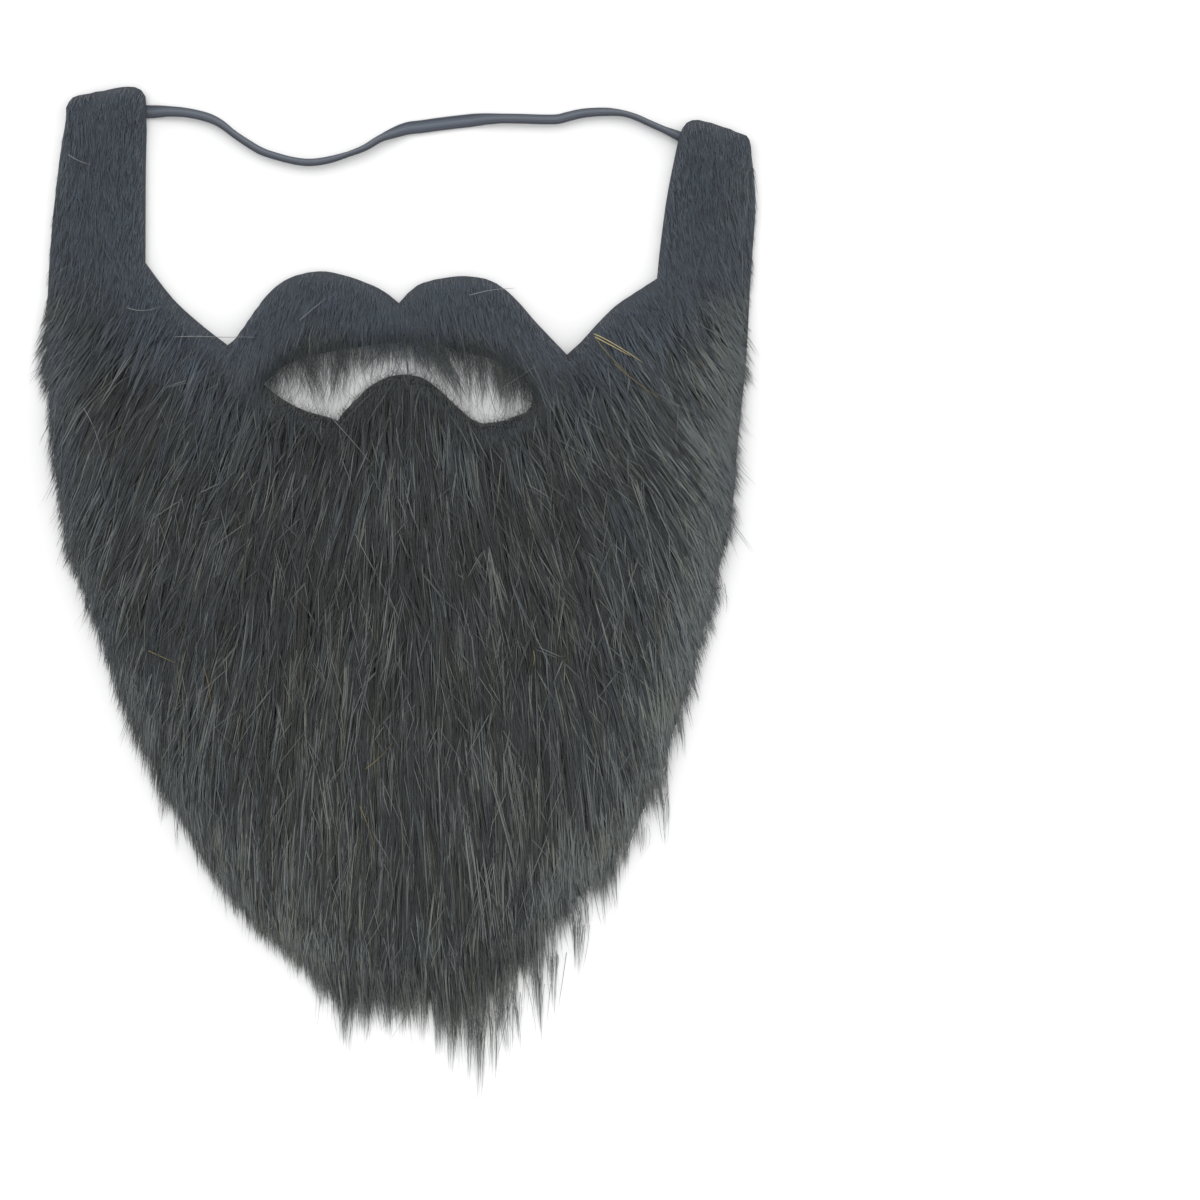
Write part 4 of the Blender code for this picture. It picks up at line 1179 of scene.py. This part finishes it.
def edge_wisps():
    """The thin wisps in which the pile ends round the chin."""
    drawn = np.random.default_rng(168)
    starts = []
    ends = []
    for tip_x, tip_y, wide, long, many in EDGE_WISPS:
        tip = np.array((tip_x, tip_y))
        lean = pile_turn(tip) * 0.8
        along = np.array((math.sin(lean), -math.cos(lean)))
        beside = np.array((along[1], -along[0]))
        for _ in range(many):
            back = long * drawn.uniform(0.75, 1.1)
            short = min(drawn.exponential(0.3 * long), 0.75 * back)
            off = drawn.normal(0, 0.55) * wide
            starts.append(tip - back * along + off * 1.2 * beside)
            ends.append(tip - short * along + off * (0.35 + short / long) * beside)
    starts = np.array(starts)
    ends = np.array(ends)
    count = len(starts)
    hairs_from_ends(
        "edge_wisps",
        starts,
        ends,
        drawn.normal(0, 0.7, (count, 2)),
        drawn.uniform(0.1, 1.6, count),
        drawn.uniform(0.11, 0.20, count),
        drawn.uniform(0.5, 1.0, count),
        np.full(count, 0.1),
    )


mouth_haze()
edge_wisps()


def short_edge_region(points):
    below_mouth = (read_chart(mouth_low_distance, points) < 7) & (points[:, 1] < 74)
    return (read_chart(cut_distance, points) < 11) | below_mouth


edge_roots = scattered(1.55, 109, short_edge_region)
drawn = np.random.default_rng(110)
edge_lengths = 7.0 * drawn.uniform(0.6, 1.2, len(edge_roots))
pile_layer(
    "cut_edge_pile", edge_roots, edge_lengths, 0.32, 112, 2,
    wisp=1.1, gather=0.8, rise=(0.15, 0.6), bury=0.15, pull=0.3, lock=4.0, contrast=0.06, tone_shift=0.05,
)


def free_edge_region(points):
    near_edge = read_chart(cloth_depth, points) < 12
    return near_edge & (read_chart(cut_distance, points) > 7) & (points[:, 1] < 96)


fringe_roots = scattered(1.85, 130, free_edge_region)
drawn = np.random.default_rng(131)
fringe_lengths = 20 + 26 * step_between(-60, -110, fringe_roots[:, 1])
fringe_lengths *= drawn.uniform(0.7, 1.2, len(fringe_roots))
pile_layer(
    "fringe_hairs", fringe_roots, fringe_lengths, 0.20, 132, 3,
    hairs=3, spread=7.0, wisp=1.2, gather=0.7, pull=0.5, lock=5.0, inset=0.3, beyond=1.6, past_share=0.35,
    rise=(0.3, 2.2), contrast=0.16, tone_shift=0.22,
)


def open_pile_region(points):
    return (points[:, 1] < 120) & (read_chart(cut_distance, points) > 9)


stray_roots = scattered(5.6, 140, open_pile_region)
drawn = np.random.default_rng(141)
stray_lengths = drawn.uniform(12, 34, len(stray_roots))
pile_layer(
    "pale_stray_hairs", stray_roots, stray_lengths, 0.22, 142, 3,
    hairs=1, spread=17.0, pull=0.1, inset=3.0, past_share=0.0, rise=(2.0, 3.6), contrast=0.12,
    tone_shift=0.42,
)


def guard_hair_region(points):
    return (points[:, 1] < 84) & (read_chart(cut_distance, points) > 12) & ~moustache_region(points)


guard_roots = scattered(4.2, 170, guard_hair_region)
drawn = np.random.default_rng(171)
guard_lengths = 33 + 19 * step_between(60, -30, guard_roots[:, 1])
guard_lengths *= drawn.uniform(0.7, 1.25, len(guard_roots))
pile_layer(
    "long_guard_hairs", guard_roots, guard_lengths, 0.34, 172, 3,
    hairs=5, spread=6.0, wisp=0.9, gather=0.55, pull=0.45, lock=9.0, rise=(1.6, 3.0), contrast=0.26,
    tone_shift=-0.15,
)

crossing_roots = scattered(5.2, 150, beard_region(-70, 80, -50, 80))
drawn = np.random.default_rng(151)
crossing_lengths = drawn.uniform(12, 28, len(crossing_roots))
pile_layer(
    "crossing_hairs", crossing_roots, crossing_lengths, 0.24, 152, 3,
    hairs=2, spread=21.0, pull=0.1, wisp=0.7, gather=0.5, rise=(2.4, 3.6), contrast=0.16, tone_shift=0.20,
)


def even_hairs(name, lines, width, tone, material):
    """Hairs of one width and tone as a piece."""
    many = len(lines)
    return hair_piece(
        name, np.array(lines), np.full(many, width), np.full(many, tone), np.zeros(many), material
    )


def loose_fibres(name, rows, width, colour):
    """Fibres that lie on the pile: each row is a start, a bend and an end, across and up in mm."""
    lines = []
    for row in rows:
        start, bend, end = np.reshape(row, (3, 2))
        plan = arc(np.linspace(0, 1, 9)[:, None], start, bend, end)
        lines.append(np.column_stack((plan, read_chart(lay_height, plan) + FIBRE_LIFT)))
    piece = even_hairs(name, lines, width, 0.5, fibre_material(name, colour))
    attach(piece, "root")
    return piece


def band_stitches():
    """The zigzag of thread that holds each end of the band to the back of the cloth."""
    lines = []
    share = np.linspace(0, 1, 4)[:, None]
    for across, up, turn in STITCHED_ENDS:
        along = np.array((math.cos(math.radians(turn)), math.sin(math.radians(turn))))
        beside = np.array((-along[1], along[0]))
        for row in range(STITCHES + 1):
            for side in (-1, 1):
                start = (across, up) + (row - STITCHES / 2) * STITCH_PITCH * along
                start = start - side * STITCH_REACH * beside
                end = start + STITCH_PITCH * along + side * 2 * STITCH_REACH * beside
                plan = start + share * (end - start)
                lines.append(np.column_stack((plan, np.full(len(share), STITCH_HEIGHT))))
    thread = fibre_material("black_thread", (0.030, 0.032, 0.036))
    piece = even_hairs("band_stitches", lines, STITCH_WIDTH, 0.3, thread)
    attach(piece, "root")


band_stitches()

loose = [
    loose_fibres("straw_fibres", STRAW_FIBRES, 0.46, (0.60, 0.52, 0.26)),
    loose_fibres("olive_fibres", OLIVE_FIBRES, 0.40, (0.24, 0.20, 0.09)),
    loose_fibres("grey_fibres", GREY_FIBRES, 0.28, (0.30, 0.32, 0.33)),
]

for piece in (cloth, under_pile, *pieces):
    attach(piece, "root")
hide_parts("fur_cloth")
under_places = np.array([point.co[:2] for point in under_pile.data.vertices]) / MM
note_on_points(under_pile, "slate", slate_share(under_places))
